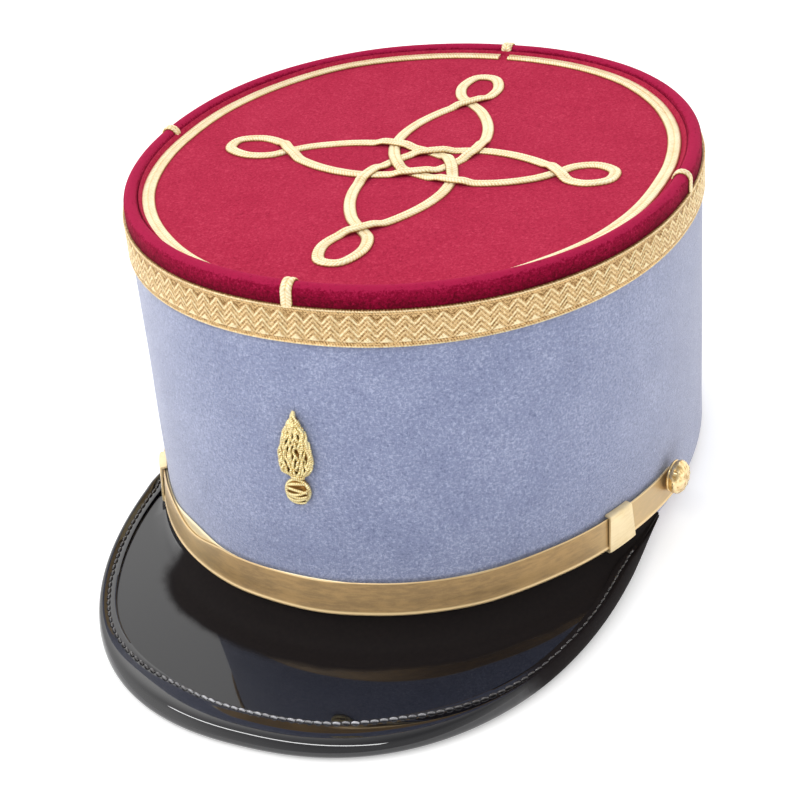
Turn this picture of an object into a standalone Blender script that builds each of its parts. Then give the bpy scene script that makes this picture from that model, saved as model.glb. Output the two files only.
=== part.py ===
"""Kepi cap: a felt pillbox cap with a patent visor, gold lace and a flat top.

Metres, +Z up. The front of the cap faces -Y and the wearer's left is +X.
The cap stands by itself on the plane z = 0: the back of the band and the front
of the visor touch it. The origin is under the middle of the whole cap.
Angles run round the head opening: 0 is the wearer's left (+X), 90 the back,
-90 the front and 180 the wearer's right.
"""

import math

import bmesh
import bpy
from mathutils import Euler, Vector

# Head opening and crest of the wall, outer faces
BASE_HALF_LENGTH = 0.1010
BASE_HALF_WIDTH = 0.0810
BASE_SQUARENESS = 2.05
CREST_HALF_LENGTH = 0.0850
CREST_HALF_WIDTH = 0.0835
CREST_SQUARENESS = 2.12
CREST_SETBACK = 0.0007
FRONT_HEIGHT = 0.0990
BACK_HEIGHT = 0.1035
FRONT_RISE = 0.0090
FELT = 0.0022
CLEARANCE = 0.0003
WALL_STEPS = 64

# Rolled rim of the turban and the sunk crown
RIM_ROLL = 0.0021
RIM_PROUD = 0.0003
RIM_STEPS = 5
CROWN_SINK = 0.0036
SEAM_DROP = 0.0102

# Gold lace round the top of the wall
GALLOON_DROP = 0.0051
GALLOON_WIDTH = 0.0103
GALLOON_BODY = 0.0006
GALLOON_CORD = 0.0009
GALLOON_CORD_WIDTH = 0.0012

# Flat gold braid
BRAID_WIDTH = 0.0036
BRAID_THICKNESS = 0.0010
BRAID_TOP_SHARE = 0.76
TIE_WIDTH = 0.0038
TIE_THICKNESS = 0.0007
RING_MARGIN = 0.0001
RING_GAP = 0.0012
RING_STEPS = 96
KNOT_REACH = 0.0620
KNOT_LEFT_SHIFT = 0.0012
KNOT_BACK_SHIFT = -0.0012
KNOT_TURN = 1.0
KNOT_MIDDLE_SHIFT = 0.0026
KNOT_PLATEAU = 0.0040
KNOT_RAMP = 0.0024
KNOT_STEPS = 3

# One half of one of the knot's four strands, from the tip of its loop to the
# middle of its bend, as shares of the knot's reach. The other half mirrors it.
# The arms to the front and back are a little longer and fuller.
# Columns: along and beside an arm to the side, along and beside an arm to the
# front or back, crossing (0 none, -1 under, 1 over)
KNOT_HALF = (
    (0.985, 0.000, 1.025, 0.000, 0),
    (0.958, -0.070, 0.998, -0.070, 0),
    (0.857, -0.106, 0.893, -0.106, 0),
    (0.754, -0.074, 0.784, -0.074, 0),
    (0.684, 0.000, 0.710, 0.000, -1),
    (0.590, 0.079, 0.610, 0.093, 0),
    (0.450, 0.142, 0.460, 0.172, 0),
    (0.318, 0.171, 0.310, 0.210, 0),
    (0.208, 0.172, 0.172, 0.208, 1),
    (0.090, 0.147, 0.078, 0.178, 0),
    (0.000, 0.116, 0.000, 0.140, -1),
    (-0.086, 0.072, -0.072, 0.086, 0),
)

# Embroidered flaming ball on the front
FLAME_FOOT = 0.0450
FLAME_HEIGHT = 0.0186
FLAME_HALF_WIDTH = 0.0050
FLAME_THICKNESS = 0.0018
FLAME_EDGE = 0.0006
FLAME_FLAT_SHARE = 0.50
BALL_DIAMETER = 0.0078
BALL_THICKNESS = 0.0028
BALL_SIDES = 20
BADGE_STANDOFF = 0.0005

# Half widths of the flame, bottom to top
# Columns: share of the height, share of the half width
FLAME_ROWS = (
    (0.00, 0.30),
    (0.06, 0.70),
    (0.16, 0.96),
    (0.28, 1.00),
    (0.42, 0.92),
    (0.56, 0.82),
    (0.70, 0.66),
    (0.82, 0.48),
    (0.92, 0.28),
    (1.00, 0.08),
)

# Outline of the ball, from the middle of its face to the middle of its back
# Columns: share of the radius, share of the thickness
BALL_PROFILE = (
    (0.00, 1.00),
    (0.50, 0.87),
    (0.82, 0.57),
    (0.98, 0.17),
    (0.90, 0.00),
    (0.00, 0.00),
)

# Visor of patent leather and its rolled edge
VISOR_HALF_WIDTH = 0.0797
VISOR_REACH = 0.1022
VISOR_ROOT = -0.0426
VISOR_SQUARENESS = 2.32
VISOR_TIP_RISE = 0.0034
VISOR_END = 91.0
VISOR_SEAT_END = -21.0
VISOR_SEAT = 0.0039
VISOR_SHEET = 0.0020
VISOR_BEND_SHARE = 0.62
VISOR_DIP = 0.0030
VISOR_STEPS = 48
BINDING_HEIGHT = 0.0044
BINDING_SKIN = 0.0008
BINDING_NOSE = 0.0022
BINDING_NOSE_SHARE = 0.70
BINDING_BEVEL = 0.0007
BINDING_REACH = 0.0080
BINDING_SHARE = 0.82

# Chin strap of two layers, its slides and buttons
STRAP_LEVEL = 0.0099
STRAP_WIDTH = 0.0096
STRAP_LAYER = 0.0010
STRAP_STEPS = 56
STRAP_END_STEPS = 3
STRAP_TAIL = 0.0052
PEEK_ANGLE = -133.0
PEEK_HALF_SPAN = 15.0
PEEK_RISE = 0.0006
PEEK_SAG = 0.0008
SLIDE_LEFT_ANGLE = -27.8
SLIDE_RIGHT_ANGLE = -145.0
SLIDE_HALF_SPAN = 3.3
SLIDE_LIP = 0.0006
SLIDE_STEPS = 3
BUTTON_ANGLE = 11.0
BUTTON_RISE = 0.0013
BUTTON_DIAMETER = 0.0102
BUTTON_HEIGHT = 0.0048
BUTTON_SIDES = 24

# Outline of a button, from the top of its dome to the middle of its back
# Columns: share of the radius, share of the height
BUTTON_PROFILE = (
    (0.00, 1.00),
    (0.38, 0.94),
    (0.69, 0.76),
    (0.87, 0.53),
    (0.92, 0.30),
    (1.00, 0.24),
    (1.00, 0.09),
    (0.70, 0.00),
    (0.00, 0.00),
)

# Worked out from the sizes above
WALL_ANGLES = [360.0 * step / WALL_STEPS for step in range(WALL_STEPS)]
INNER_LAYER = CLEARANCE
OUTER_LAYER = 2 * CLEARANCE + STRAP_LAYER
STRAP_FACE = OUTER_LAYER + STRAP_LAYER
VISOR_FRONT = VISOR_REACH - VISOR_ROOT
MIDDLE_Y = (VISOR_FRONT - BASE_HALF_LENGTH) / 2
RIM_WIDTH = 2 * RIM_ROLL
RIM_AXIS_DROP = RIM_ROLL - RIM_PROUD
TIE_BACK = RIM_WIDTH + CLEARANCE + TIE_THICKNESS
RING_INSET = TIE_BACK + CLEARANCE + RING_MARGIN + BRAID_WIDTH / 2


def oval(half_length, half_width, squareness, angle):
    """Point of an oval that is a little squarer than an ellipse."""
    cosine = math.cos(math.radians(angle))
    sine = math.sin(math.radians(angle))
    power = 2.0 / squareness
    x = half_width * math.copysign(abs(cosine) ** power, cosine)
    y = half_length * math.copysign(abs(sine) ** power, sine)
    return x, y


def base_height(y):
    """Height of the plane that the wall's lower edge lies in."""
    return FRONT_RISE * (BASE_HALF_LENGTH - y) / (2 * BASE_HALF_LENGTH)


def crest_slope():
    """How fast the top falls from front to back."""
    return (FRONT_RISE + FRONT_HEIGHT - BACK_HEIGHT) / (2 * CREST_HALF_LENGTH)


def crest_height(y):
    """Height of the plane that the wall's upper edge lies in."""
    middle = (FRONT_RISE + FRONT_HEIGHT + BACK_HEIGHT) / 2
    return middle - crest_slope() * (y - CREST_SETBACK)


def wall_ends(angle):
    """Points of the wall's outer face at its lower and upper edge."""
    base_x, base_y = oval(BASE_HALF_LENGTH, BASE_HALF_WIDTH, BASE_SQUARENESS, angle)
    crest_x, crest_y = oval(CREST_HALF_LENGTH, CREST_HALF_WIDTH, CREST_SQUARENESS, angle)
    crest_y += CREST_SETBACK
    low = Vector((base_x, base_y, base_height(base_y)))
    high = Vector((crest_x, crest_y, crest_height(crest_y)))
    return low, high


def outward(angle):
    """Level direction out of the wall."""
    radians = math.radians(angle)
    across = math.cos(radians) / BASE_HALF_WIDTH
    along = math.sin(radians) / BASE_HALF_LENGTH
    return Vector((across, along, 0.0)).normalized()


def wall_height(angle):
    low, high = wall_ends(angle)
    return high.z - low.z


def wall_point(angle, level, out=0.0):
    """Point at a height above the lower edge, out from the wall's outer face."""
    low, high = wall_ends(angle)
    share = level / (high.z - low.z)
    return low.lerp(high, share) + outward(angle) * out


def crest_point(angle, drop, out=0.0):
    """Point at a depth below the upper edge, out from the wall's outer face."""
    return wall_point(angle, wall_height(angle) - drop, out)


def degrees_for(angle, length):
    """Change of angle that moves a point of the lower edge by a length."""
    step = 0.5
    chord = wall_point(angle + step, 0.0) - wall_point(angle - step, 0.0)
    return length / chord.length * 2 * step


def finish(name, colour, roughness, metallic=0.0):
    """Plain Principled material."""
    material = bpy.data.materials.new(name)
    material.use_nodes = True
    shader = material.node_tree.nodes["Principled BSDF"]
    shader.inputs["Base Color"].default_value = (*colour, 1.0)
    shader.inputs["Roughness"].default_value = roughness
    shader.inputs["Metallic"].default_value = metallic
    material.diffuse_color = (*colour, 1.0)
    return material


def place(item, material, collection, parent):
    """Put an object in the cap's collection and under its frame."""
    item.data.materials.append(material)
    collection.objects.link(item)
    item.parent = parent
    return item


def smooth(mesh, angle=40.0):
    mesh.shade_smooth()
    mesh.set_sharp_from_angle(angle=math.radians(angle))


def loft(name, sections, ring=False):
    """Closed solid through sections of equal point counts."""
    shape = bmesh.new()
    rows = [[shape.verts.new(point) for point in section] for section in sections]
    count = len(rows[0])
    pairs = list(zip(rows, rows[1:]))
    if ring:
        pairs.append((rows[-1], rows[0]))
    for first, second in pairs:
        for here in range(count):
            after = (here + 1) % count
            shape.faces.new((first[here], first[after], second[after], second[here]))
    if not ring:
        shape.faces.new(list(reversed(rows[0])))
        shape.faces.new(rows[-1])
    bmesh.ops.recalc_face_normals(shape, faces=shape.faces)
    mesh = bpy.data.meshes.new(name)
    shape.to_mesh(mesh)
    shape.free()
    smooth(mesh)
    return bpy.data.objects.new(name, mesh)


def turned(name, profile, radius, height, sides):
    """Solid turned about Z from an outline given in shares of its size."""
    mesh = bpy.data.meshes.new(name)
    points = [(radius * out, 0.0, height * up) for out, up in profile]
    edges = [(index, index + 1) for index in range(len(points) - 1)]
    mesh.from_pydata(points, edges, [])
    item = bpy.data.objects.new(name, mesh)
    screw = item.modifiers.new("Turn", "SCREW")
    screw.axis = "Z"
    screw.steps = sides
    screw.render_steps = sides
    screw.use_merge_vertices = True
    screw.merge_threshold = 0.00005
    screw.use_smooth_shade = True
    return item


def braid(name, points, section, closed):
    """Flat braid laid along a path of points."""
    curve = bpy.data.curves.new(name, "CURVE")
    curve.dimensions = "3D"
    curve.twist_mode = "Z_UP"
    curve.render_resolution_u = 0
    curve.bevel_mode = "OBJECT"
    curve.bevel_object = section
    curve.use_fill_caps = not closed
    spline = curve.splines.new("POLY")
    spline.points.add(len(points) - 1)
    for index, point in enumerate(points):
        spline.points[index].co = (*point, 1.0)
    spline.use_cyclic_u = closed
    return bpy.data.objects.new(name, curve)


def braid_section(helpers):
    """Outline of the flat braid, with its foot on the line it follows."""
    half_foot = BRAID_WIDTH / 2
    half_top = half_foot * BRAID_TOP_SHARE
    outline = (
        (-half_foot, 0.0),
        (-half_top, BRAID_THICKNESS),
        (half_top, BRAID_THICKNESS),
        (half_foot, 0.0),
    )
    curve = bpy.data.curves.new("braid_section", "CURVE")
    curve.dimensions = "2D"
    curve.fill_mode = "NONE"
    spline = curve.splines.new("POLY")
    spline.points.add(len(outline) - 1)
    for index, (across, up) in enumerate(outline):
        spline.points[index].co = (across, up, 0.0, 1.0)
    spline.use_cyclic_u = True
    helper = bpy.data.objects.new("braid_section", curve)
    helper.hide_render = True
    helper.display_type = "WIRE"
    helpers.objects.link(helper)
    return helper


def band():
    """Lower wall of felt, open at the top and bottom."""
    sections = []
    for angle in WALL_ANGLES:
        top = wall_height(angle) - SEAM_DROP - CLEARANCE / 2
        inner_foot = wall_point(angle, 0.0, -FELT)
        inner_foot.z = base_height(inner_foot.y)
        sections.append([
            wall_point(angle, 0.0),
            wall_point(angle, top),
            wall_point(angle, top, -FELT),
            inner_foot,
        ])
    return loft("band", sections, ring=True)


def rim_path(offset, start_drop, end_drop):
    """Way over the rolled rim at an offset, as (out, drop) pairs."""
    path = [(offset, start_drop)]
    for step in range(RIM_STEPS + 1):
        turn = math.pi * step / RIM_STEPS
        out = -RIM_ROLL + (RIM_ROLL + offset) * math.cos(turn)
        drop = RIM_AXIS_DROP - (RIM_ROLL + offset) * math.sin(turn)
        path.append((out, drop))
    path.append((-RIM_WIDTH - offset, end_drop))
    return path


def turban():
    """Upper wall of felt, rolled over at the top down to the crown."""
    seam = SEAM_DROP - CLEARANCE / 2
    lip = CROWN_SINK - CLEARANCE
    outline = rim_path(0.0, seam, lip) + [(-FELT, lip), (-FELT, seam)]
    sections = []
    for angle in WALL_ANGLES:
        sections.append([crest_point(angle, drop, out) for out, drop in outline])
    return loft("turban", sections, ring=True)


def crown_outline(inset, angles):
    """Oval that lies inside the crest, in the crown's own frame."""
    points = []
    for angle in angles:
        x, y = oval(CREST_HALF_LENGTH, CREST_HALF_WIDTH, CREST_SQUARENESS, angle)
        inside = Vector((x, y, 0.0)) - outward(angle) * inset
        points.append(inside)
    return points


def crown_top():
    """Flat felt top, held under the rolled rim."""
    curve = bpy.data.curves.new("crown_top", "CURVE")
    curve.dimensions = "2D"
    curve.fill_mode = "BOTH"
    curve.extrude = FELT / 2
    spline = curve.splines.new("POLY")
    outline = crown_outline(FELT + CLEARANCE, WALL_ANGLES)
    spline.points.add(len(outline) - 1)
    for index, point in enumerate(outline):
        spline.points[index].co = (*point, 1.0)
    spline.use_cyclic_u = True
    item = bpy.data.objects.new("crown_top", curve)
    item.location = (0.0, 0.0, -FELT / 2)
    return item


def galloon():
    """Band of gold lace with a cord along each edge."""
    foot = GALLOON_DROP + GALLOON_WIDTH
    body = CLEARANCE + GALLOON_BODY
    cord = CLEARANCE + GALLOON_CORD
    outline = (
        (CLEARANCE, GALLOON_DROP),
        (cord, GALLOON_DROP),
        (cord, GALLOON_DROP + GALLOON_CORD_WIDTH),
        (body, GALLOON_DROP + GALLOON_CORD_WIDTH),
        (body, foot - GALLOON_CORD_WIDTH),
        (cord, foot - GALLOON_CORD_WIDTH),
        (cord, foot),
        (CLEARANCE, foot),
    )
    sections = []
    for angle in WALL_ANGLES:
        sections.append([crest_point(angle, drop, out) for out, drop in outline])
    return loft("galloon", sections, ring=True)


def tie(name, angle):
    """Short braid from the lace up and over the rim, into the crown's groove."""
    start = GALLOON_DROP - CLEARANCE
    end = CROWN_SINK - CLEARANCE
    inside = rim_path(CLEARANCE, start, end)
    outside = rim_path(CLEARANCE + TIE_THICKNESS, start, end)
    half = degrees_for(angle, TIE_WIDTH / 2)
    sections = []
    for (in_out, in_drop), (out_out, out_drop) in zip(inside, outside):
        sections.append([
            crest_point(angle - half, in_drop, in_out),
            crest_point(angle + half, in_drop, in_out),
            crest_point(angle + half, out_drop, out_out),
            crest_point(angle - half, out_drop, out_out),
        ])
    return loft(name, sections)


def ring_points():
    """Path of the ring, broken by a small gap at the back."""
    back = 90.0
    around = CREST_HALF_WIDTH - RING_INSET
    half_gap = math.degrees(RING_GAP / 2 / around)
    span = 360.0 - 2 * half_gap
    angles = []
    for step in range(RING_STEPS + 1):
        angles.append(back + half_gap + span * step / RING_STEPS)
    points = crown_outline(RING_INSET, angles)
    return [point + Vector((0.0, 0.0, CLEARANCE)) for point in points]


def smooth_through(points, steps):
    """Closed curve through the points, each stretch split into equal steps."""
    count = len(points)
    path = []
    for index in range(count):
        before = points[index - 1]
        here = points[index]
        after = points[(index + 1) % count]
        beyond = points[(index + 2) % count]
        for step in range(steps):
            t = step / steps
            pull = (after - before) * t
            bend = (2 * before - 5 * here + 4 * after - beyond) * t ** 2
            close = (3 * here - before - 3 * after + beyond) * t ** 3
            path.append(here + (pull + bend + close) / 2)
    return path


def knot_controls():
    """Points of the closed knot, and which of them pass over another strand.

    Its middle lies a little to the wearer's left of the tips of its arms.
    """
    side_column = 0
    long_column = 2
    crossing_column = 4
    arms = (
        (Vector((-1.0, 0.0, 0.0)), side_column),
        (Vector((0.0, -1.0, 0.0)), long_column),
        (Vector((1.0, 0.0, 0.0)), side_column),
        (Vector((0.0, 1.0, 0.0)), long_column),
    )
    way_back = tuple(reversed(KNOT_HALF[1:-1]))
    points = []
    over = []
    for index, (arm, column) in enumerate(arms):
        following, following_column = arms[(index + 1) % len(arms)]
        halves = (
            (arm, following, column, KNOT_HALF, 1),
            (following, arm, following_column, way_back, -1),
        )
        for along, beside, first, rows, side in halves:
            for row in rows:
                point = along * row[first] - beside * row[first + 1]
                middle = (1 - point.x ** 2) * (1 - point.y ** 2)
                point.x += KNOT_MIDDLE_SHIFT / KNOT_REACH * middle
                points.append(point * KNOT_REACH)
                over.append(row[crossing_column] * side > 0)
    return points, over


def knot_points():
    """Path of the knot, lifted where it passes over itself."""
    controls, over = knot_controls()
    path = smooth_through(controls, KNOT_STEPS)
    travel = [0.0]
    for first, second in zip(path, path[1:] + path[:1]):
        travel.append(travel[-1] + (second - first).length)
    whole = travel[-1]
    tops = [travel[index * KNOT_STEPS] for index, top in enumerate(over) if top]
    lift = BRAID_THICKNESS + CLEARANCE
    turn = Euler((0.0, 0.0, math.radians(KNOT_TURN))).to_matrix()
    centre = Vector((KNOT_LEFT_SHIFT, KNOT_BACK_SHIFT, 0.0))
    points = []
    for point, place_along in zip(path, travel):
        spans = [abs(place_along - top) for top in tops]
        nearest = min(min(span, whole - span) for span in spans)
        ramp = (nearest - KNOT_PLATEAU) / KNOT_RAMP
        ramp = min(max(ramp, 0.0), 1.0)
        height = CLEARANCE + lift * (1 + math.cos(math.pi * ramp)) / 2
        points.append(turn @ point + centre + Vector((0.0, 0.0, height)))
    return points


def badge_flame():
    """Embroidered flame that follows the curve of the front wall."""
    front = -90.0
    back = BADGE_STANDOFF
    edge = BADGE_STANDOFF + FLAME_EDGE
    crown = BADGE_STANDOFF + FLAME_THICKNESS
    sections = []
    for height, width in FLAME_ROWS:
        level = FLAME_FOOT + FLAME_HEIGHT * height
        half = degrees_for(front, FLAME_HALF_WIDTH * width)
        flat = half * FLAME_FLAT_SHARE
        sections.append([
            wall_point(front - half, level, back),
            wall_point(front + half, level, back),
            wall_point(front + half, level, edge),
            wall_point(front + flat, level, crown),
            wall_point(front - flat, level, crown),
            wall_point(front - half, level, edge),
        ])
    return loft("badge_flame", sections)


def set_on_wall(item, angle, level, out):
    """Stand a turned piece on the wall with its axis square to it."""
    small = 0.001
    turn = degrees_for(angle, small)
    around = wall_point(angle + turn, level) - wall_point(angle - turn, level)
    upward = wall_point(angle, level + small) - wall_point(angle, level - small)
    normal = around.cross(upward).normalized()
    item.location = wall_point(angle, level, out)
    item.rotation_mode = "QUATERNION"
    item.rotation_quaternion = normal.to_track_quat("Z", "Y")
    return item


def badge_ball():
    """Embroidered ball under the flame."""
    radius = BALL_DIAMETER / 2
    item = turned("badge_ball", BALL_PROFILE, radius, BALL_THICKNESS, BALL_SIDES)
    level = FLAME_FOOT - CLEARANCE - radius
    return set_on_wall(item, -90.0, level, BADGE_STANDOFF)


def visor_outline(turn):
    """Foot of the visor's edge: 0 is the front, the ends are at the sides."""
    sine = math.sin(math.radians(turn))
    cosine = math.cos(math.radians(turn))
    power = 2.0 / VISOR_SQUARENESS
    x = VISOR_HALF_WIDTH * math.copysign(abs(sine) ** power, sine)
    y = VISOR_ROOT - VISOR_REACH * math.copysign(abs(cosine) ** power, cosine)
    z = VISOR_TIP_RISE * (y + VISOR_FRONT) / VISOR_REACH
    return Vector((x, y, z))


def visor_stations():
    """For each step: wall angle, foot of the edge, way in and width."""
    stations = []
    for step in range(VISOR_STEPS + 1):
        side = 2.0 * step / VISOR_STEPS - 1.0
        foot = visor_outline(VISOR_END * side)
        angle = -90.0 + (90.0 + VISOR_SEAT_END) * side
        seat = wall_point(angle, VISOR_SEAT, CLEARANCE)
        inward = seat - foot
        inward.z = 0.0
        width = inward.length
        stations.append((angle, foot, inward.normalized(), width))
    return stations


def binding_reach(width):
    """How far the binding laps over the visor, less near the tips."""
    return min(BINDING_REACH, (width - VISOR_SHEET) * BINDING_SHARE)


def visor():
    """Sheet of patent leather, steep at the wall, with a flange that seats on it."""
    sheet_foot = (BINDING_HEIGHT - VISOR_SHEET) / 2
    edge_inset = BINDING_SKIN + CLEARANCE
    stations = visor_stations()
    widest = max(width for angle, foot, inward, width in stations)
    sections = []
    for angle, foot, inward, width in stations:
        seat = wall_point(angle, VISOR_SEAT, CLEARANCE)
        flange = wall_point(angle, VISOR_SEAT, CLEARANCE + VISOR_SHEET)
        drop = Vector((0.0, 0.0, VISOR_SHEET))
        edge = foot + inward * edge_inset + Vector((0.0, 0.0, sheet_foot))
        lap = foot + inward * binding_reach(width) + Vector((0.0, 0.0, sheet_foot))
        bend = lap.lerp(flange - drop, VISOR_BEND_SHARE)
        bend.z -= VISOR_DIP * width / widest
        sections.append([
            seat,
            bend + drop,
            lap + drop,
            edge + drop,
            edge,
            lap,
            bend,
            flange - drop,
            wall_point(angle, 0.0, CLEARANCE + VISOR_SHEET),
            wall_point(angle, 0.0, CLEARANCE),
        ])
    return loft("visor", sections)


def visor_binding():
    """Rolled strip folded over the visor's edge, above and below the sheet."""
    slot_low = (BINDING_HEIGHT - VISOR_SHEET) / 2 - CLEARANCE
    slot_high = BINDING_HEIGHT - slot_low
    skin_low = slot_low - BINDING_SKIN
    skin_high = slot_high + BINDING_SKIN
    sections = []
    for angle, foot, inward, width in visor_stations():
        reach = binding_reach(width)
        nose = min(BINDING_NOSE, reach * BINDING_NOSE_SHARE)
        outline = (
            (reach, skin_low),
            (nose, 0.0),
            (BINDING_BEVEL, BINDING_BEVEL),
            (0.0, BINDING_HEIGHT / 2),
            (BINDING_BEVEL, BINDING_HEIGHT - BINDING_BEVEL),
            (nose, BINDING_HEIGHT),
            (reach, skin_high),
            (reach, slot_high),
            (BINDING_SKIN, slot_high),
            (BINDING_SKIN, slot_low),
            (reach, slot_low),
        )
        up = Vector((0.0, 0.0, 1.0))
        sections.append([foot + inward * inset + up * height for inset, height in outline])
    return loft("visor_binding", sections)


def strap_stations():
    """Wall angle and share of the full width, with round ends."""
    button = -BUTTON_ANGLE
    end = button + degrees_for(button, STRAP_TAIL)
    radius = STRAP_WIDTH / 2
    stations = []
    for step in range(STRAP_END_STEPS):
        turn = math.radians(15.0 + 75.0 * step / STRAP_END_STEPS)
        back_from_end = radius * (1 - math.cos(turn))
        stations.append((end - degrees_for(button, back_from_end), math.sin(turn)))
    full = end - degrees_for(button, radius)
    for step in range(STRAP_STEPS + 1):
        angle = full + (-180.0 - 2 * full) * step / STRAP_STEPS
        stations.append((angle, 1.0))
    for angle, share in reversed(stations[:STRAP_END_STEPS]):
        stations.append((-180.0 - angle, share))
    return stations


def peek(angle):
    """1 where the layers of the strap part most, 0 away from there."""
    away = min(abs(angle - PEEK_ANGLE) / PEEK_HALF_SPAN, 1.0)
    return (1 + math.cos(math.pi * away)) / 2


def strap(name, inside, parting):
    """One layer of the chin strap, moved up or down where the layers part."""
    outside = inside + STRAP_LAYER
    sections = []
    for angle, share in strap_stations():
        half = STRAP_WIDTH / 2 * share
        level = STRAP_LEVEL + parting * peek(angle)
        low = level - half
        high = level + half
        sections.append([
            wall_point(angle, low, inside),
            wall_point(angle, low, outside),
            wall_point(angle, high, outside),
            wall_point(angle, high, inside),
        ])
    return loft(name, sections)


def slide(name, middle):
    """Flat loop round both layers, open only towards the wall."""
    half = STRAP_WIDTH / 2 + CLEARANCE
    low = STRAP_LEVEL - half
    high = STRAP_LEVEL + half
    front = STRAP_FACE + CLEARANCE
    outline = (
        (CLEARANCE, high + SLIDE_LIP),
        (front + SLIDE_LIP, high + SLIDE_LIP),
        (front + SLIDE_LIP, low - SLIDE_LIP),
        (CLEARANCE, low - SLIDE_LIP),
        (CLEARANCE, low),
        (front, low),
        (front, high),
        (CLEARANCE, high),
    )
    sections = []
    for step in range(SLIDE_STEPS + 1):
        angle = middle + SLIDE_HALF_SPAN * (2.0 * step / SLIDE_STEPS - 1.0)
        sections.append([wall_point(angle, level, out) for out, level in outline])
    return loft(name, sections)


def button(name, angle):
    """Domed button with a rim, standing on the end of the strap."""
    radius = BUTTON_DIAMETER / 2
    item = turned(name, BUTTON_PROFILE, radius, BUTTON_HEIGHT, BUTTON_SIDES)
    level = STRAP_LEVEL + BUTTON_RISE
    return set_on_wall(item, angle, level, STRAP_FACE + CLEARANCE)


def clear_scene():
    for item in list(bpy.data.objects):
        bpy.data.objects.remove(item, do_unlink=True)


def new_collection(name):
    collection = bpy.data.collections.new(name)
    bpy.context.scene.collection.children.link(collection)
    return collection


def new_frame(name, collection, location, tilt, parent):
    frame = bpy.data.objects.new(name, None)
    collection.objects.link(frame)
    frame.location = location
    frame.rotation_euler = (tilt, 0.0, 0.0)
    frame.parent = parent
    return frame


def main():
    clear_scene()
    cap = new_collection("kepi_cap")
    helpers = new_collection("helpers")
    cap_frame = new_frame("cap_frame", helpers, (0.0, MIDDLE_Y, 0.0), 0.0, None)
    crown_place = (0.0, CREST_SETBACK, crest_height(CREST_SETBACK) - CROWN_SINK)
    crown_tilt = -math.atan(crest_slope())
    crown_frame = new_frame("crown_frame", helpers, crown_place, crown_tilt, cap_frame)

    blue_felt = finish("blue_felt", (0.31, 0.37, 0.58), 0.95)
    red_felt = finish("red_felt", (0.47, 0.02, 0.07), 0.95)
    patent = finish("patent_leather", (0.012, 0.012, 0.018), 0.12)
    lace = finish("gold_lace", (0.70, 0.48, 0.17), 0.42, 0.85)
    cord = finish("gold_braid", (0.83, 0.63, 0.30), 0.40, 0.85)
    leather = finish("gilt_leather", (0.55, 0.36, 0.13), 0.35, 0.6)
    brass = finish("gilt_brass", (0.84, 0.62, 0.26), 0.28, 0.9)

    section = braid_section(helpers)
    on_cap = (
        (band(), blue_felt),
        (turban(), red_felt),
        (galloon(), lace),
        (tie("tie_front", -90.0), cord),
        (tie("tie_back", 90.0), cord),
        (tie("tie_left", 0.0), cord),
        (tie("tie_right", 180.0), cord),
        (badge_flame(), cord),
        (badge_ball(), cord),
        (visor(), patent),
        (visor_binding(), patent),
        (strap("strap_inner", INNER_LAYER, PEEK_RISE), leather),
        (strap("strap_outer", OUTER_LAYER, -PEEK_SAG), leather),
        (slide("slide_left", SLIDE_LEFT_ANGLE), leather),
        (slide("slide_right", SLIDE_RIGHT_ANGLE), leather),
        (button("button_left", -BUTTON_ANGLE), brass),
        (button("button_right", BUTTON_ANGLE - 180.0), brass),
    )
    for item, material in on_cap:
        place(item, material, cap, cap_frame)
    on_crown = (
        (crown_top(), red_felt),
        (braid("top_ring", ring_points(), section, False), cord),
        (braid("knot", knot_points(), section, True), cord),
    )
    for item, material in on_crown:
        place(item, material, cap, crown_frame)


main()
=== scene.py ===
# %% [markdown]
# # A kepi cap, dressed
#
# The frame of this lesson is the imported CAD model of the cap: felt walls, a sunk
# crown, lace, braid, a badge, a patent visor and a chin strap, all plain solids.
# Each step below gives one piece the form and the finish of the real one. The
# cap's own measures come first, because every piece is laid on the same wall.

# %% Load the frame
import math
import random

import bmesh
import bpy
from mathutils import Euler, Matrix, Vector, noise

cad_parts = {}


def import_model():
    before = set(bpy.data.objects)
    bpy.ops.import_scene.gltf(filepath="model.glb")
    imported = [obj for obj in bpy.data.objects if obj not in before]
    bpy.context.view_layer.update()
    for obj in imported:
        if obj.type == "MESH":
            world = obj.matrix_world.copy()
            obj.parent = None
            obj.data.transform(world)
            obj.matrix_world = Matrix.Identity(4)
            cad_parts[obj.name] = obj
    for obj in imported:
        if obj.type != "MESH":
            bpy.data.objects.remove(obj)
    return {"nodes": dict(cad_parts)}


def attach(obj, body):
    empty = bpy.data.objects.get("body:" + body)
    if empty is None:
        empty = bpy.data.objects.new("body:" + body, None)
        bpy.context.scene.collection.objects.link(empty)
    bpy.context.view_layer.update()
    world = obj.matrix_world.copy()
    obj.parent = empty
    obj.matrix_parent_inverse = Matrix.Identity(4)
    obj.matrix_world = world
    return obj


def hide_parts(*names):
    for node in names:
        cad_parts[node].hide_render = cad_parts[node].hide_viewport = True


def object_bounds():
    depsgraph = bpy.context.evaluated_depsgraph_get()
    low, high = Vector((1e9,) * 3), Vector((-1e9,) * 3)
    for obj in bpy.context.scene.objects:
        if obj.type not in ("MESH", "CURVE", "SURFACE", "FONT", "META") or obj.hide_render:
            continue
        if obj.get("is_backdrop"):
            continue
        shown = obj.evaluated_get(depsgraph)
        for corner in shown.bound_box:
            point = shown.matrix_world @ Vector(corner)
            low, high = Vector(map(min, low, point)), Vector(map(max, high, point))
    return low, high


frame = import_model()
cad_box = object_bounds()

print("pieces in the frame:", len(frame["nodes"]))

# %% [markdown]
# ## The shape of the cap
#
# The wall runs from an oval at the foot to a rounder oval at the crest. The foot
# lies in a plane that tips forward, because the visor holds the front up, and the
# crest lies in one that tips back. An angle round the head and a height up the
# wall name any point of it, so lace, strap and badge can be laid on it without
# measuring them again. The front is at -90 degrees and the wearer's left at 0.

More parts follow.
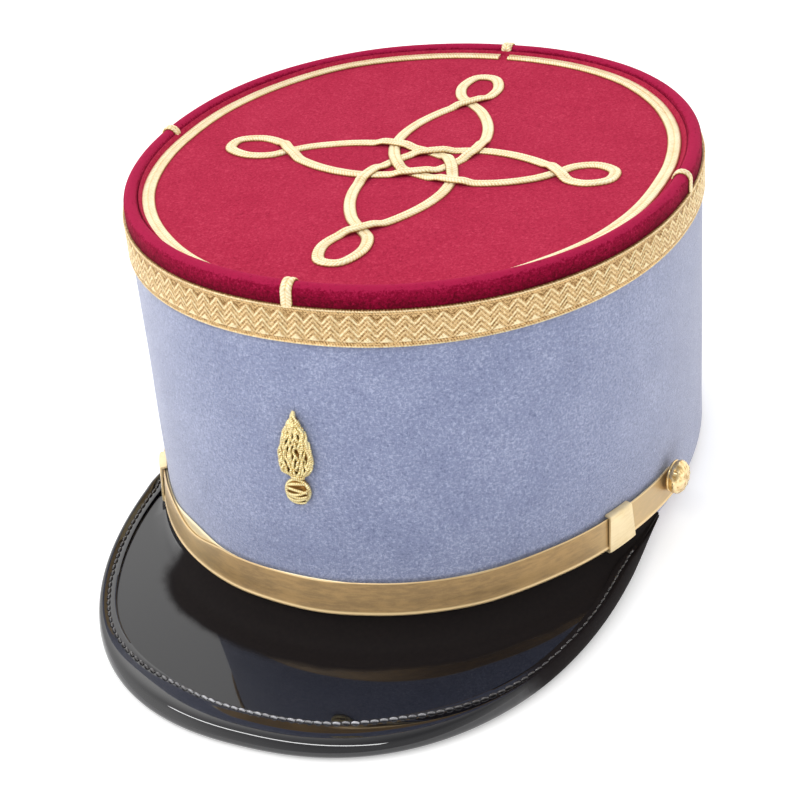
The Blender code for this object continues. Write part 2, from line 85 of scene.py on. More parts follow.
# %% Measures of the wall
MM = 0.001
MIDDLE_Y = 21.9 * MM
BASE_HALF_LENGTH = 101.0 * MM
BASE_HALF_WIDTH = 81.0 * MM
BASE_SQUARENESS = 2.05
CREST_HALF_LENGTH = 85.0 * MM
CREST_HALF_WIDTH = 83.5 * MM
CREST_SQUARENESS = 2.12
CREST_SETBACK = 0.7 * MM
FRONT_HEIGHT = 99.0 * MM
BACK_HEIGHT = 103.5 * MM
FRONT_RISE = 9.0 * MM
FELT = 2.2 * MM
CLEARANCE = 0.3 * MM
CROWN_SINK = 3.6 * MM
LAID_ON = 0.05 * MM
UP = Vector((0.0, 0.0, 1.0))


def oval(half_length, half_width, squareness, angle):
    """Point of an oval that is a little squarer than an ellipse."""
    cosine = math.cos(math.radians(angle))
    sine = math.sin(math.radians(angle))
    power = 2.0 / squareness
    x = half_width * math.copysign(abs(cosine) ** power, cosine)
    y = half_length * math.copysign(abs(sine) ** power, sine)
    return x, y


def base_height(y):
    return FRONT_RISE * (BASE_HALF_LENGTH - y) / (2 * BASE_HALF_LENGTH)


def crest_slope():
    return (FRONT_RISE + FRONT_HEIGHT - BACK_HEIGHT) / (2 * CREST_HALF_LENGTH)


def crest_height(y):
    middle = (FRONT_RISE + FRONT_HEIGHT + BACK_HEIGHT) / 2
    return middle - crest_slope() * (y - CREST_SETBACK)


def wall_ends(angle):
    base_x, base_y = oval(BASE_HALF_LENGTH, BASE_HALF_WIDTH, BASE_SQUARENESS, angle)
    crest_x, crest_y = oval(CREST_HALF_LENGTH, CREST_HALF_WIDTH, CREST_SQUARENESS, angle)
    crest_y += CREST_SETBACK
    low = Vector((base_x, base_y + MIDDLE_Y, base_height(base_y)))
    high = Vector((crest_x, crest_y + MIDDLE_Y, crest_height(crest_y)))
    return low, high


def outward(angle):
    radians = math.radians(angle)
    across = math.cos(radians) / BASE_HALF_WIDTH
    along = math.sin(radians) / BASE_HALF_LENGTH
    return Vector((across, along, 0.0)).normalized()


def wall_height(angle):
    low, high = wall_ends(angle)
    return high.z - low.z


def wall_point(angle, level, out=0.0):
    """Point at a height above the lower edge, out from the wall's outer face."""
    low, high = wall_ends(angle)
    return low.lerp(high, level / (high.z - low.z)) + outward(angle) * out


def crest_point(angle, drop, out=0.0):
    """Point at a depth below the upper edge, out from the wall's outer face."""
    return wall_point(angle, wall_height(angle) - drop, out)


def degrees_for(angle, length):
    """Change of angle that moves a point of the lower edge by a length."""
    step = 0.5
    chord = wall_point(angle + step, 0.0) - wall_point(angle - step, 0.0)
    return length / chord.length * 2 * step


print("front of the wall at", [round(value, 4) for value in wall_point(-90.0, 0.0)])

# %% [markdown]
# ## Even spacing
#
# Equal steps of angle are not equal steps along an oval, and a woven pattern
# shows it. The cure is to walk round once, add up the lengths and then ask for
# the angles that lie at equal shares of the whole way.


# %% Angles at equal distances
def travel_along(points):
    """Way walked at each point of a path, from 0."""
    travel = [0.0]
    for first, second in zip(points, points[1:]):
        travel.append(travel[-1] + (second - first).length)
    return travel

def even_angles(count, start, span, point_at):
    """count + 1 angles from start, at equal distances along a path."""
    fine = 1440
    angles = [start + span * step / fine for step in range(fine + 1)]
    travel = travel_along([point_at(angle) for angle in angles])
    wanted = []
    index = 0
    for step in range(count + 1):
        target = travel[-1] * step / count
        while index < fine - 1 and travel[index + 1] < target:
            index += 1
        share = (target - travel[index]) / (travel[index + 1] - travel[index])
        wanted.append(angles[index] + (angles[index + 1] - angles[index]) * share)
    return wanted, travel[-1]


ROUND_ANGLES, WALL_LENGTH = even_angles(512, -90.0, 360.0, lambda a: wall_point(a, 0.05))
print("once round the wall:", round(WALL_LENGTH / MM), "mm")

# %% [markdown]
# ## Skins
#
# Almost every piece of a cap is a strip: a wall, a lace, a braid, a rolled edge.
# So one helper turns rows of points into a smooth mesh. It can close the strip
# round on itself either way, it can cap its ends, and it stores where each point
# is on the strip as UV, in the units that the finish wants.


# %% Mesh from rows of points
def put_in(name, data):
    """New object in the scene."""
    made = bpy.data.objects.new(name, data)
    bpy.context.scene.collection.objects.link(made)
    return made

def skin(name, rows, around=False, along=False, capped=False, uv=None, marks=None):
    """Mesh over a grid of points: along joins the rows, around the columns."""
    count = len(rows[0])
    faces = []
    corners = []
    for row in range(len(rows) if along else len(rows) - 1):
        for column in range(count if around else count - 1):
            cell = ((row, column), (row, column + 1), (row + 1, column + 1), (row + 1, column))
            faces.append([r % len(rows) * count + c % count for r, c in cell])
            corners.extend(cell)
    if capped:
        for row in (0, len(rows) - 1):
            faces.append([row * count + column for column in range(count)])
            corners.extend((row, column) for column in range(count))
    mesh = bpy.data.meshes.new(name)
    mesh.from_pydata([point for row in rows for point in row], [], faces)
    if uv:
        layer = mesh.uv_layers.new(name="strip")
        flat = [value for row, column in corners for value in uv(row, column)]
        layer.data.foreach_set("uv", flat)
    for title, values in (marks or {}).items():
        mark = mesh.attributes.new(title, "FLOAT", "POINT")
        mark.data.foreach_set("value", values)
    piece = put_in(name, mesh)
    smooth_out(piece)
    return piece


def smooth_out(piece, sharp=50.0):
    """Turn all faces outward and shade them smooth."""
    shape = bmesh.new()
    shape.from_mesh(piece.data)
    bmesh.ops.recalc_face_normals(shape, faces=shape.faces)
    shape.to_mesh(piece.data)
    shape.free()
    piece.data.shade_smooth()
    piece.data.set_sharp_from_angle(angle=math.radians(sharp))


def join(name, parts):
    """One piece made of several meshes."""
    with bpy.context.temp_override(active_object=parts[0], selected_editable_objects=parts):
        bpy.ops.object.join()
    parts[0].name = name
    parts[0].data.name = name
    return parts[0]


def dress(piece, material, nodes=()):
    """Give a piece its finish, and let it ride and stand for its CAD nodes."""
    piece.data.materials.clear()
    piece.data.materials.append(material)
    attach(piece, "root")
    if nodes:
        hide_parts(*nodes)
    faces = len(piece.data.polygons)
    print(f"{piece.name}: {faces} faces, finish {material.name}")
    return piece


# %% [markdown]
# ## Finishes as sums
#
# A finish is a small calculation that Blender runs at every point of a surface.
# Wiring it node by node is slow to read, so a wire here knows how to add,
# subtract, multiply and divide: each sign adds one Math node. Any other node
# comes from the one method node, which takes its settings, then its inputs.


# %% A wire that can be reckoned with
class Wire:
    """One output of a node, in the node tree of a finish."""

    def __init__(self, tree, socket=None):
        self.tree = tree
        self.socket = socket

    def node(self, kind, settings=None, inputs=None, output=0):
        made = self.tree.nodes.new("ShaderNode" + kind)
        for name, value in (settings or {}).items():
            setattr(made, name, value)
        for name, value in (inputs or {}).items():
            socket = made.inputs[name]
            if isinstance(value, Wire):
                self.tree.links.new(value.socket, socket)
            else:
                socket.default_value = value
        return Wire(self.tree, made.outputs[output])

    def math(self, operation, *values):
        return self.node("Math", {"operation": operation}, dict(enumerate(values)))

    def __add__(self, other):
        return self.math("ADD", self, other)

    def __radd__(self, other):
        return self.math("ADD", other, self)

    def __sub__(self, other):
        return self.math("SUBTRACT", self, other)

    def __rsub__(self, other):
        return self.math("SUBTRACT", other, self)

    def __mul__(self, other):
        return self.math("MULTIPLY", self, other)

    def __rmul__(self, other):
        return self.math("MULTIPLY", other, self)

    def __truediv__(self, other):
        return self.math("DIVIDE", self, other)

    def wave(self):
        """0 to 1 and back as the value runs through 1."""
        return self.math("COSINE", self * math.tau) * -0.5 + 0.5

    def zigzag(self):
        """0 to 1 and back in straight lines as the value runs through 1."""
        return self.math("PINGPONG", self, 0.5) * 2.0

    def within(self, low, high):
        """0 below low, 1 above high, smooth between."""
        settings = {"interpolation_type": "SMOOTHSTEP"}
        return self.node("MapRange", settings, {"Value": self, 1: low, 2: high})

    def along(self, direction):
        """How far a vector reaches in a direction."""
        settings = {"operation": "DOT_PRODUCT"}
        return self.node("VectorMath", settings, {0: self, 1: direction}, output=1)


def rgba(colour):
    return (*colour, 1.0)


class Finish:
    """A material with one Principled shader, whose constants are set at once."""

    def __init__(self, name, colour, roughness, **constants):
        self.material = bpy.data.materials.new(name)
        self.material.use_nodes = True
        self.tree = self.material.node_tree
        self.shader = self.tree.nodes["Principled BSDF"]
        self.start = Wire(self.tree)
        self.set("Base Color", rgba(colour))
        self.set("Roughness", roughness)
        for socket, value in constants.items():
            self.set(socket.replace("_", " ").title().replace("Ior", "IOR"), value)
        self.material.diffuse_color = rgba(colour)

    def set(self, socket, value):
        if isinstance(value, Wire):
            self.tree.links.new(value.socket, self.shader.inputs[socket])
        else:
            self.shader.inputs[socket].default_value = value

    def place(self):
        """Where a point of the surface is, in millimetres."""
        where = self.start.node("TexCoord", output="Object")
        inputs = {0: where, "Scale": 1.0 / MM}
        return where.node("VectorMath", {"operation": "SCALE"}, inputs)

    def strip(self):
        """The two UV values of the strip, apart."""
        uv = self.start.node("TexCoord", output="UV")
        return uv.node("SeparateXYZ", inputs={0: uv}), uv.node("SeparateXYZ", inputs={0: uv}, output=1)

    def mark(self, title):
        return self.start.node("Attribute", {"attribute_name": title}, output="Fac")

    def speckle(self, where, grain, detail=2.0, twist=0.0, stretch=(1.0, 1.0, 1.0)):
        """Noise from 0 to 1 whose blotches are about grain millimetres wide."""
        if stretch != (1.0, 1.0, 1.0):
            inputs = {0: where, 1: stretch}
            where = where.node("VectorMath", {"operation": "DIVIDE"}, inputs)
        inputs = {"Vector": where, "Scale": 1.0 / grain, "Detail": detail, "Distortion": twist}
        return where.node("TexNoise", inputs=inputs)

    def blend(self, share, first, second):
        """Colour between two colours."""
        settings = {"data_type": "RGBA"}
        colours = [rgba(c) if isinstance(c, tuple) else c for c in (first, second)]
        inputs = {0: share, 6: colours[0], 7: colours[1]}
        return self.start.node("Mix", settings, inputs, output=2)

    def raise_by(self, height, depth):
        """Bump from a height of 0 to 1 that stands for depth millimetres."""
        inputs = {"Height": height, "Distance": depth * MM}
        self.set("Normal", self.start.node("Bump", inputs=inputs))


# %% [markdown]
# ## Felt
#
# Felt has no weave: wool fibres lie matted in all directions, so the surface is
# softly mottled, with darker pits and lighter fibre ends about a millimetre
# long. Noise that is stretched three ways and laid over itself gives such a mat.
# The nap catches light that grazes it, which is what the sheen of the shader is
# for, and it keeps the gloss off.


# %% Felt finish
def felt(name, pit, body, fibre, sheen, tint, depth, painted_rim_light=0.0):
    """Matted wool from three tones; the last argument paints light on the rim's top and shade at its foot.
    """
    made = Finish(
        name,
        body,
        0.92,
        specular_ior_level=0.10,
        sheen_weight=sheen,
        sheen_roughness=0.45,
        sheen_tint=rgba(tint),
    )
    here = made.place()
    cloudy = made.speckle(here, 14.0, 2.0)
    mat = made.speckle(here, 0.72, 4.0, 0.6)
    lying = made.speckle(here, 0.42, 2.0, 1.2, (2.6, 2.6, 0.8))
    leaning = made.speckle(here, 0.46, 2.0, 1.4, (0.8, 0.8, 2.2))
    fibres = lying.math("MAXIMUM", lying, leaning)
    tone = mat * 0.60 + fibres * 0.60 + cloudy * 0.16 - 0.20
    # Painted light and shade: the rolled rim is painted lighter along its top and darker at its foot, next
    # to the lace.
    if painted_rim_light:
        level = here.along((0.0, crest_slope(), 1.0))
        top = crest_height(-MIDDLE_Y) / MM
        wear_and_painted_light = level.within(top - 5.0, top - 0.3) + level.within(top - 0.9, top)
        tone = tone + (wear_and_painted_light - 0.8) * painted_rim_light
    dark = made.blend(tone.within(0.28, 0.50), pit, body)
    made.set("Base Color", made.blend(tone.within(0.48, 0.72), dark, fibre))
    made.raise_by(mat * 0.4 + fibres * 0.6, depth)
    return made.material


BLUE_PIT = (0.140, 0.170, 0.300)
BLUE_BODY = (0.255, 0.292, 0.460)
BLUE_FIBRE = (0.470, 0.510, 0.690)
NAP_WHITE = (0.86, 0.86, 0.92)
RED_PIT = (0.31, 0.006, 0.036)
RED_BODY = (0.450, 0.0185, 0.060)
RED_FIBRE = (0.58, 0.048, 0.104)
NAP_RED = (0.85, 0.08, 0.17)
BLUE_FELT = felt("blue_felt", BLUE_PIT, BLUE_BODY, BLUE_FIBRE, 1.0, NAP_WHITE, 0.40)
RED_FELT = felt("crimson_felt", RED_PIT, RED_BODY, RED_FIBRE, 0.20, NAP_RED, 0.30)
# The rim's tones are the crown's crimson felt painted darker: painted shade on the rolled rim.
SHADED_RIM_PIT = (0.11, 0.0003, 0.010)
SHADED_RIM_BODY = (0.25, 0.0012, 0.028)
SHADED_RIM_FIBRE = (0.45, 0.014, 0.072)
SHADED_RIM_FELT = felt("shaded_crimson_rim_felt", SHADED_RIM_PIT, SHADED_RIM_BODY, SHADED_RIM_FIBRE, 0.10, NAP_RED, 0.40, 0.20)
print("felts:", BLUE_FELT.name, RED_FELT.name, SHADED_RIM_FELT.name)

# %% [markdown]
# ## The band
#
# The band is one piece of thick felt, seamed out of sight. It could be the CAD
# solid with a modifier, but its long flat facets would show, so it is drawn
# again from the same oval with many more steps, a softened lower edge and the
# slight unevenness that pressed wool has.


# %% Band of blue felt
SEAM_DROP = 10.2 * MM
SOFT_EDGE = 0.7 * MM
WALL_WAVE = 23 * MM
WALL_WAVER = 0.22 * MM


def uneven(point, size, depth):
    """A slow rise and fall of a surface, the same at each run."""
    return noise.noise(point / size) * depth


def felt_wall(name, outline_at, material, node):
    """Wall from its outline at each angle, all round the head."""
    rows = []
    for angle in ROUND_ANGLES[:-1]:
        facing = outward(angle)
        row = []
        for point in outline_at(angle):
            row.append(point + facing * uneven(point, WALL_WAVE, WALL_WAVER))
        rows.append(row)
    piece = skin(name, rows, around=True, along=True)
    return dress(piece, material, [node])


def band_outline(angle):
    """Round the wall's section, from the lower edge up outside, down inside."""
    top = wall_height(angle) - SEAM_DROP - CLEARANCE / 2
    soft = SOFT_EDGE
    points = []
    for turn in (0.0, 30.0, 60.0, 90.0):
        radians = math.radians(turn)
        points.append(wall_point(angle, soft * (1 - math.sin(radians)), -soft * (1 - math.cos(radians))))
    points = points[::-1]
    points += [wall_point(angle, soft + (top - soft) * step / 28) for step in range(1, 29)]
    points += [wall_point(angle, top - (top - soft) * step / 12, -FELT) for step in range(13)]
    points.append(wall_point(angle, 0.0, -FELT + soft))
    return points


felt_wall("band_felt", band_outline, BLUE_FELT, "band")

# %% [markdown]
# ## The turban and its rim
#
# Above the lace the crimson felt is rolled over a cord, which makes the round
# rim, and tucked down inside to meet the crown. The roll is a half circle, so
# the outline is worked out from its radius instead of being drawn by hand.


# %% Turban with a rolled rim
RIM_ROLL = 2.1 * MM
RIM_PROUD = 0.3 * MM
RIM_AXIS_DROP = RIM_ROLL - RIM_PROUD
RIM_WIDTH = 2 * RIM_ROLL


def rim_path(offset, start_drop, end_drop, steps=16, straight=6):
    """Way over the rolled rim at an offset, as (out, drop) pairs."""
    path = []
    for step in range(straight):
        path.append((offset, start_drop + (RIM_AXIS_DROP - start_drop) * step / straight))
    for step in range(steps + 1):
        turn = math.pi * step / steps
        out = -RIM_ROLL + (RIM_ROLL + offset) * math.cos(turn)
        path.append((out, RIM_AXIS_DROP - (RIM_ROLL + offset) * math.sin(turn)))
    path.append((-RIM_WIDTH - offset, end_drop))
    return path


def turban_outline(angle):
    seam = SEAM_DROP - CLEARANCE / 2
    lip = CROWN_SINK - CLEARANCE
    outline = rim_path(0.0, seam, lip) + [(-FELT, lip), (-FELT, seam)]
    return [crest_point(angle, drop, out) for out, drop in outline]


felt_wall("turban_felt", turban_outline, SHADED_RIM_FELT, "turban")

# %% [markdown]
# ## The crown
#
# The top is a disc of felt that sits a little below the rim. At its edge it turns
# up against the rolled rim, and the narrow groove between them holds the dark line
# that sets the crown off. Pressed felt is never quite flat, so the disc stands a
# little higher at the back and sides than in front. Rings of points that shrink
# to the middle keep the edge even all the way round.

# %% Sunk crown
CROWN_PLACE = Vector((0.0, MIDDLE_Y + CREST_SETBACK, crest_height(CREST_SETBACK) - CROWN_SINK))
CROWN_TILT = Euler((-math.atan(crest_slope()), 0.0, 0.0)).to_matrix()
CROWN_FRAME = Matrix.Translation(CROWN_PLACE) @ CROWN_TILT.to_4x4()
CROWN_UP = (CROWN_TILT @ UP).normalized()
CROWN_WAVE = 26 * MM
CROWN_WAVER = 0.25 * MM
# Columns: way in from the crest, height above the crown, both in mm
CROWN_EDGE = (
    (2.5, -2.1), (2.5, -0.6), (3.6, -0.4), (4.15, 0.5), (4.25, 1.2), (4.45, 1.65), (4.65, 1.66),
    (4.90, 1.35), (5.20, 0.82), (5.50, 0.38), (5.9, 0.10), (6.4, 0.02), (7.2, 0.0),
)
CROWN_SHARES = (0.96, 0.92, 0.87, 0.81, 0.74, 0.66, 0.57, 0.47, 0.36, 0.24, 0.12, 0.03)


def between(value, low, high):
    """0 below low, 1 above high, smooth between."""
    share = min(max((value - low) / (high - low), 0.0), 1.0)
    return share * share * (3.0 - 2.0 * share)


def on_crown(point):
    """Point of the crown's own plane, with the slow warp of the felt added."""
    rise = 1.0 * between(point.y, 42 * MM, 76 * MM) - 0.9 * between(-point.y, 52 * MM, 76 * MM)
    rise += 0.9 * between(-point.x, 28 * MM, 62 * MM) + 0.5 * between(point.x, 28 * MM, 62 * MM)
    return point + UP * rise * MM


def crown_point(angle, inset, height=0.0):
    """Point on the crown, in from the crest and up from its face."""
    x, y = oval(CREST_HALF_LENGTH, CREST_HALF_WIDTH, CREST_SQUARENESS, angle)
    inside = Vector((x, y, 0.0)) - outward(angle) * inset
    return on_crown(inside + UP * height)


def crown_rows():
    rows = []
    for inset, height in CROWN_EDGE:
        rows.append([crown_point(angle, inset * MM, height * MM) for angle in ROUND_ANGLES[:-1]])
    outer = rows[-1]
    for share in CROWN_SHARES:
        row = []
        for point in outer:
            here = Vector((point.x * share, point.y * share, 0.0))
            here.z = uneven(here, CROWN_WAVE, CROWN_WAVER) * (1 - share ** 6)
            row.append(on_crown(here))
        rows.append(row)
    return [[CROWN_FRAME @ point for point in row] for row in rows]


crown = skin("crown_felt", crown_rows(), around=True, capped=True)
dress(crown, RED_FELT, ["crown_top"])

# %% [markdown]
# ## Gold lace
#
# The lace is woven in metal thread. From the foot up it has a thin cord, a narrow
# strip, a row of bright triangles, chevrons of three threads that climb and fall,
# dark notches where they turn at the top, another strip and another thin cord.
# The main relief is real geometry, so that the light breaks on it from any side.
# The single threads are finer than the mesh can carry, so they come from the
# finish, which uses the same zigzag on the strip's UV.

# %% Lace measures and relief
LACE_DROP = 5.1 * MM
LACE_WIDTH = 10.3 * MM
LACE_REPEATS = 111
LACE_STEPS = 16
LACE_COLUMNS = 44
LACE_BACKING = 0.45
LACE_RISE = 0.42
ZIGZAG_RISE = 0.25
ZIGZAG_PITCH = 0.150


def triangle(value):
    """0 to 1 and back in straight lines."""
    return 1.0 - abs(1.0 - 2.0 * (value % 1.0))


def hump(value, middle, half):
    """Round swelling of height 1 about a middle."""
    away = (value - middle) / half
    return math.sqrt(max(1.0 - away * away, 0.0))


def lace_relief(repeat, share):
    """Height of the lace in millimetres at a share of its width from the foot."""
    cords = max(0.42 * hump(share, 0.968, 0.030), 0.40 * hump(share, 0.028, 0.028))
    strips = max(0.20 * hump(share, 0.905, 0.036), 0.17 * hump(share, 0.092, 0.030))
    peak = triangle(repeat)
    body = 0.0
    if 0.13 < share < 0.87:
        climb = (share - ZIGZAG_RISE * peak) / ZIGZAG_PITCH
        body = 0.20 + 0.15 * math.cos(math.tau * climb) + 0.05 * math.cos(math.pi * climb)
        triangle_top = 0.15 + 0.19 * (peak - 0.32)
        if share < triangle_top:
            body = 0.38
        notch = abs(share - 0.79 - 0.16 * (peak - 0.3)) / 0.040
        if peak < 0.62 and notch < 1.0:
            body *= notch * notch * 0.5
        body *= min((share - 0.13) / 0.02, (0.87 - share) / 0.02, 1.0)
    twist = 1.0 + 0.20 * math.cos(math.tau * (repeat * 6 + share * 8))
    return max(cords * twist, strips * twist, body)


# %% [markdown]
# The finish of the lace repeats the zigzag in its sums. Threads run along the
# chevrons at about half a millimetre, and each is broken by the weave, so short
# bright dashes alternate with small dark gaps. What lies deep is painted browner
# and what stands high is painted brighter: painted shade in the hollows, along
# with the tarnish of old gilt there, and painted light on the raised threads.


# %% Lace finish
def lace_finish():
    deep = (0.22, 0.105, 0.025)
    body = (0.74, 0.50, 0.235)
    bright = (1.0, 0.89, 0.58)
    made = Finish("gold_lace", body, 0.36, metallic=0.78)
    repeat, share = made.strip()
    relief = made.mark("relief")
    climb = share - repeat.zigzag() * ZIGZAG_RISE
    threads = (climb / 0.050).wave()
    dashes = (repeat * 9.0 + climb / 0.050 * 0.5).wave()
    wear_and_painted_light = made.speckle(made.place(), 0.55, 2.0)
    in_body = share.within(0.12, 0.14) * (1.0 - share.within(0.86, 0.88))
    cord_ribs = (repeat * 6.0 + share * 8.0).wave()
    weave = in_body * (threads * 0.6 + dashes * 0.4) + (1.0 - in_body) * (cord_ribs * 0.7)
    # The relief mark paints shade into the hollows and light onto the raised threads.
    tone = relief * 0.62 + weave * 0.34 + wear_and_painted_light * 0.85 - 0.38
    dark = made.blend(tone.within(0.14, 0.46), deep, body)
    made.set("Base Color", made.blend(tone.within(0.50, 0.84), dark, bright))
    made.set("Roughness", 0.48 - weave * 0.16)
    made.raise_by(weave, 0.10)
    return made.material


GOLD_LACE = lace_finish()


# %% Lace round the wall
def lace():
    steps = LACE_REPEATS * LACE_STEPS
    middle = LACE_DROP + LACE_WIDTH / 2
    angles, length = even_angles(steps, -90.0, 360.0, lambda a: crest_point(a, middle))
    shares = [column / LACE_COLUMNS for column in range(LACE_COLUMNS + 1)]
    rows = []
    relief = []
    for index, angle in enumerate(angles[:-1]):
        low, high = wall_ends(angle)
        facing = outward(angle)
        height = high.z - low.z
        row = [wall_point(angle, height - LACE_DROP - LACE_WIDTH, LAID_ON)]
        relief.append(0.0)
        for share in shares:
            rise = lace_relief(index / LACE_STEPS, share)
            level = (height - LACE_DROP - LACE_WIDTH * (1.0 - share)) / height
            row.append(low.lerp(high, level) + facing * (LACE_BACKING + rise) * MM)
            relief.append(min(rise / LACE_RISE, 1.0))
        row.append(wall_point(angle, height - LACE_DROP, LAID_ON))
        relief.append(0.0)
        rows.append(row)
    places = [0.0, *shares, 1.0]
    piece = skin(
        "lace_gold",
        rows,
        along=True,
        uv=lambda row, column: (row / LACE_STEPS, places[column]),
        marks={"relief": relief},
    )
    print("lace length", round(length / MM), "mm,", LACE_REPEATS, "chevrons")
    return dress(piece, GOLD_LACE, ["galloon"])


lace()

# %% [markdown]
# ## Soutache braid
#
# Soutache is metal thread plaited over two thin cords and pressed flat, so its
# section is a low dome with a shallow groove along the middle. It is swept along
# its path point by point: at each one the braid's side lies square to the way it
# runs and to the face under it. Its edges, where the plait turns down, and its
# groove are painted browner: painted shade.

# %% Braid finish
BRAID_WIDTH = 3.55 * MM
BRAID_HEIGHT = 0.80 * MM
RIB_PITCH = 0.95 * MM


def braid_finish(name, deep, body, bright):
    made = Finish(name, body, 0.40, metallic=0.70)
    turns, share = made.strip()
    lean = (share - 0.5).math("ABSOLUTE", share - 0.5)
    ribs = (turns + lean * 2.6).wave()
    # Painted shade: the middle groove and both edges are darkened in the colour.
    groove_shade = 1.0 - lean.within(0.01, 0.07)
    edge = lean.within(0.36, 0.48)
    here = made.place()
    fine = made.speckle(here, 0.5, 2.0)
    wear_and_painted_light = made.speckle(here, 5.0, 2.0)
    tone = ribs * 0.26 + fine * 0.55 + wear_and_painted_light * 0.40 + 0.08 - groove_shade * 0.26 - edge * 0.80
    dark = made.blend(tone.within(0.0, 0.44), deep, body)
    made.set("Base Color", made.blend(tone.within(0.42, 0.84), dark, bright))
    made.set("Roughness", 0.48 - ribs * 0.10)
    made.raise_by(ribs * (1.0 - groove_shade) * (1.0 - edge), 0.08)
    return made.material


GOLD_BRAID = braid_finish("gold_braid", (0.38, 0.20, 0.06), (0.80, 0.60, 0.30), (0.92, 0.84, 0.60))


# %% Braid along a path
def braid_section(width, height):
    """(across, up) of the braid, round from one foot to the other."""
    section = [(-0.5, 0.0)]
    for step in range(15):
        share = step / 14
        across = -0.5 + share
        dome = max(1.0 - abs(2 * across) ** 3.2, 0.0) ** 0.5
        dent = 0.16 * math.exp(-((across / 0.09) ** 2))
        section.append((across, 0.22 + 0.78 * dome - dent))
    section.append((0.5, 0.0))
    return [(across * width, up * height) for across, up in section]


def lay_braid(name, path, normals, closed, width=BRAID_WIDTH, height=BRAID_HEIGHT):
    """Sweep the braid's section along a path."""
    section = braid_section(width, height)
    count = len(path)
    travel = travel_along(path + (path[:1] if closed else path[-1:]))
    rows = []
    for index in range(count):
        before = path[(index - 1) % count] if closed or index else path[0]
        after = path[(index + 1) % count] if closed or index < count - 1 else path[-1]
        way = (after - before).normalized()
        side = normals[index].cross(way).normalized()
        up = way.cross(side)
        ribs = 1.0 + 0.03 * math.cos(math.tau * travel[index] / RIB_PITCH)
        rows.append([path[index] + side * a * ribs + up * u * ribs for a, u in section])
    turns = max(round(travel[-1] / RIB_PITCH), 1)
    last = len(section)

    def strip(row, column):
        return travel[min(row, count)] / travel[-1] * turns, column % last / (last - 1)

    return skin(name, rows, around=True, along=closed, capped=not closed, uv=strip)


# %% [markdown]
# ## The ring
#
# One length of braid goes round the crown and meets itself at the back, where a
# small gap shows its two ends.

# %% Ring round the crown
RING_INSET = 7.4 * MM
RING_WIDTH = 4.0 * MM
RING_START = 90.9
RING_SPAN = 358.2


def ring_inset(angle):
    """The ring runs nearer the rim in front, behind and at the front left."""
    cosine = math.cos(math.radians(angle))
    leftward = max(cosine, 0.0)
    front_left = max(-math.sin(math.radians(2 * angle)), 0.0) * leftward
    return RING_INSET - (1.2 * (1 - cosine ** 2) - 0.8 * leftward ** 2 + front_left) * MM


def ring():
    angles, length = even_angles(1500, RING_START, RING_SPAN, lambda a: crown_point(a, RING_INSET))
    path = []
    for angle in angles:
        waver = uneven(Vector((angle * 0.07, 3.0, 0.0)), 1.0, 0.25 * MM)
        path.append(CROWN_FRAME @ crown_point(angle, ring_inset(angle) + waver, LAID_ON))
    piece = lay_braid("ring_braid", path, [CROWN_UP] * len(path), False, RING_WIDTH)
    print("ring length", round(length / MM), "mm")
    return dress(piece, GOLD_BRAID, ["top_ring"])


ring()

# %% [markdown]
# ## The knot
#
# The knot is one closed strand in four arms, and it passes over and under itself
# in turn. Its points are the CAD model's own: one quarter in a table, used four
# times. What makes it read as woven is height. The braid climbs smoothly where
# it goes over, and lies flat on the felt where it goes under.

# %% Knot points
KNOT_REACH = 62.0 * MM
KNOT_LEFT_SHIFT = 1.2 * MM
KNOT_BACK_SHIFT = -1.2 * MM
KNOT_MIDDLE_SHIFT = 2.6 * MM
KNOT_SIDE_SHIFT = 0.6 * MM
KNOT_TURN = 1.0
KNOT_PLATEAU = 3.2 * MM
KNOT_RAMP = 4.2 * MM
KNOT_LIFT = 0.80 * MM
# Columns: along and beside an arm to the side, along and beside an arm to the
# front or back, crossing (0 none, -1 under, 1 over)
KNOT_HALF = (
    (0.972, 0.000, 1.022, 0.000, 0),
    (0.948, -0.062, 0.996, -0.062, 0),
    (0.852, -0.098, 0.893, -0.096, 0),
    (0.752, -0.070, 0.784, -0.068, 0),
    (0.684, 0.000, 0.710, 0.000, -1),
    (0.590, 0.079, 0.610, 0.093, 0),
    (0.450, 0.142, 0.460, 0.172, 0),
    (0.318, 0.171, 0.310, 0.210, 0),
    (0.208, 0.172, 0.172, 0.208, 1),
    (0.090, 0.147, 0.078, 0.178, 0),
    (0.000, 0.116, 0.000, 0.140, -1),
    (-0.086, 0.072, -0.072, 0.086, 0),
)


def knot_controls():
    arms = (((-1, 0, 0), 0), ((0, -1, 0), 2), ((1, 0, 0), 0), ((0, 1, 0), 2))
    way_back = tuple(reversed(KNOT_HALF[1:-1]))
    points = []
    over = []
    for index, (arm, column) in enumerate(arms):
        following, following_column = arms[(index + 1) % 4]
        halves = (
            (Vector(arm), Vector(following), column, KNOT_HALF, 1),
            (Vector(following), Vector(arm), following_column, way_back, -1),
        )
        for along, beside, first, rows, side in halves:
            for row in rows:
                point = along * row[first] - beside * row[first + 1]
                point.x += KNOT_MIDDLE_SHIFT / KNOT_REACH * (1 - point.x ** 2) * (1 - point.y ** 2)
                point.y += KNOT_SIDE_SHIFT / KNOT_REACH * point.x ** 2
                points.append(point * KNOT_REACH)
                over.append(row[4] * side > 0)
    return points, over


def smooth_through(points, steps):
    """Closed curve through the points, each stretch split into equal steps."""
    count = len(points)
    path = []
    for index in range(count):
        before = points[index - 1]
        here = points[index]
        after = points[(index + 1) % count]
        beyond = points[(index + 2) % count]
        for step in range(steps):
            t = step / steps
            pull = (after - before) * t
            bend = (2 * before - 5 * here + 4 * after - beyond) * t ** 2
            close = (3 * here - before - 3 * after + beyond) * t ** 3
            path.append(here + (pull + bend + close) / 2)
    return path


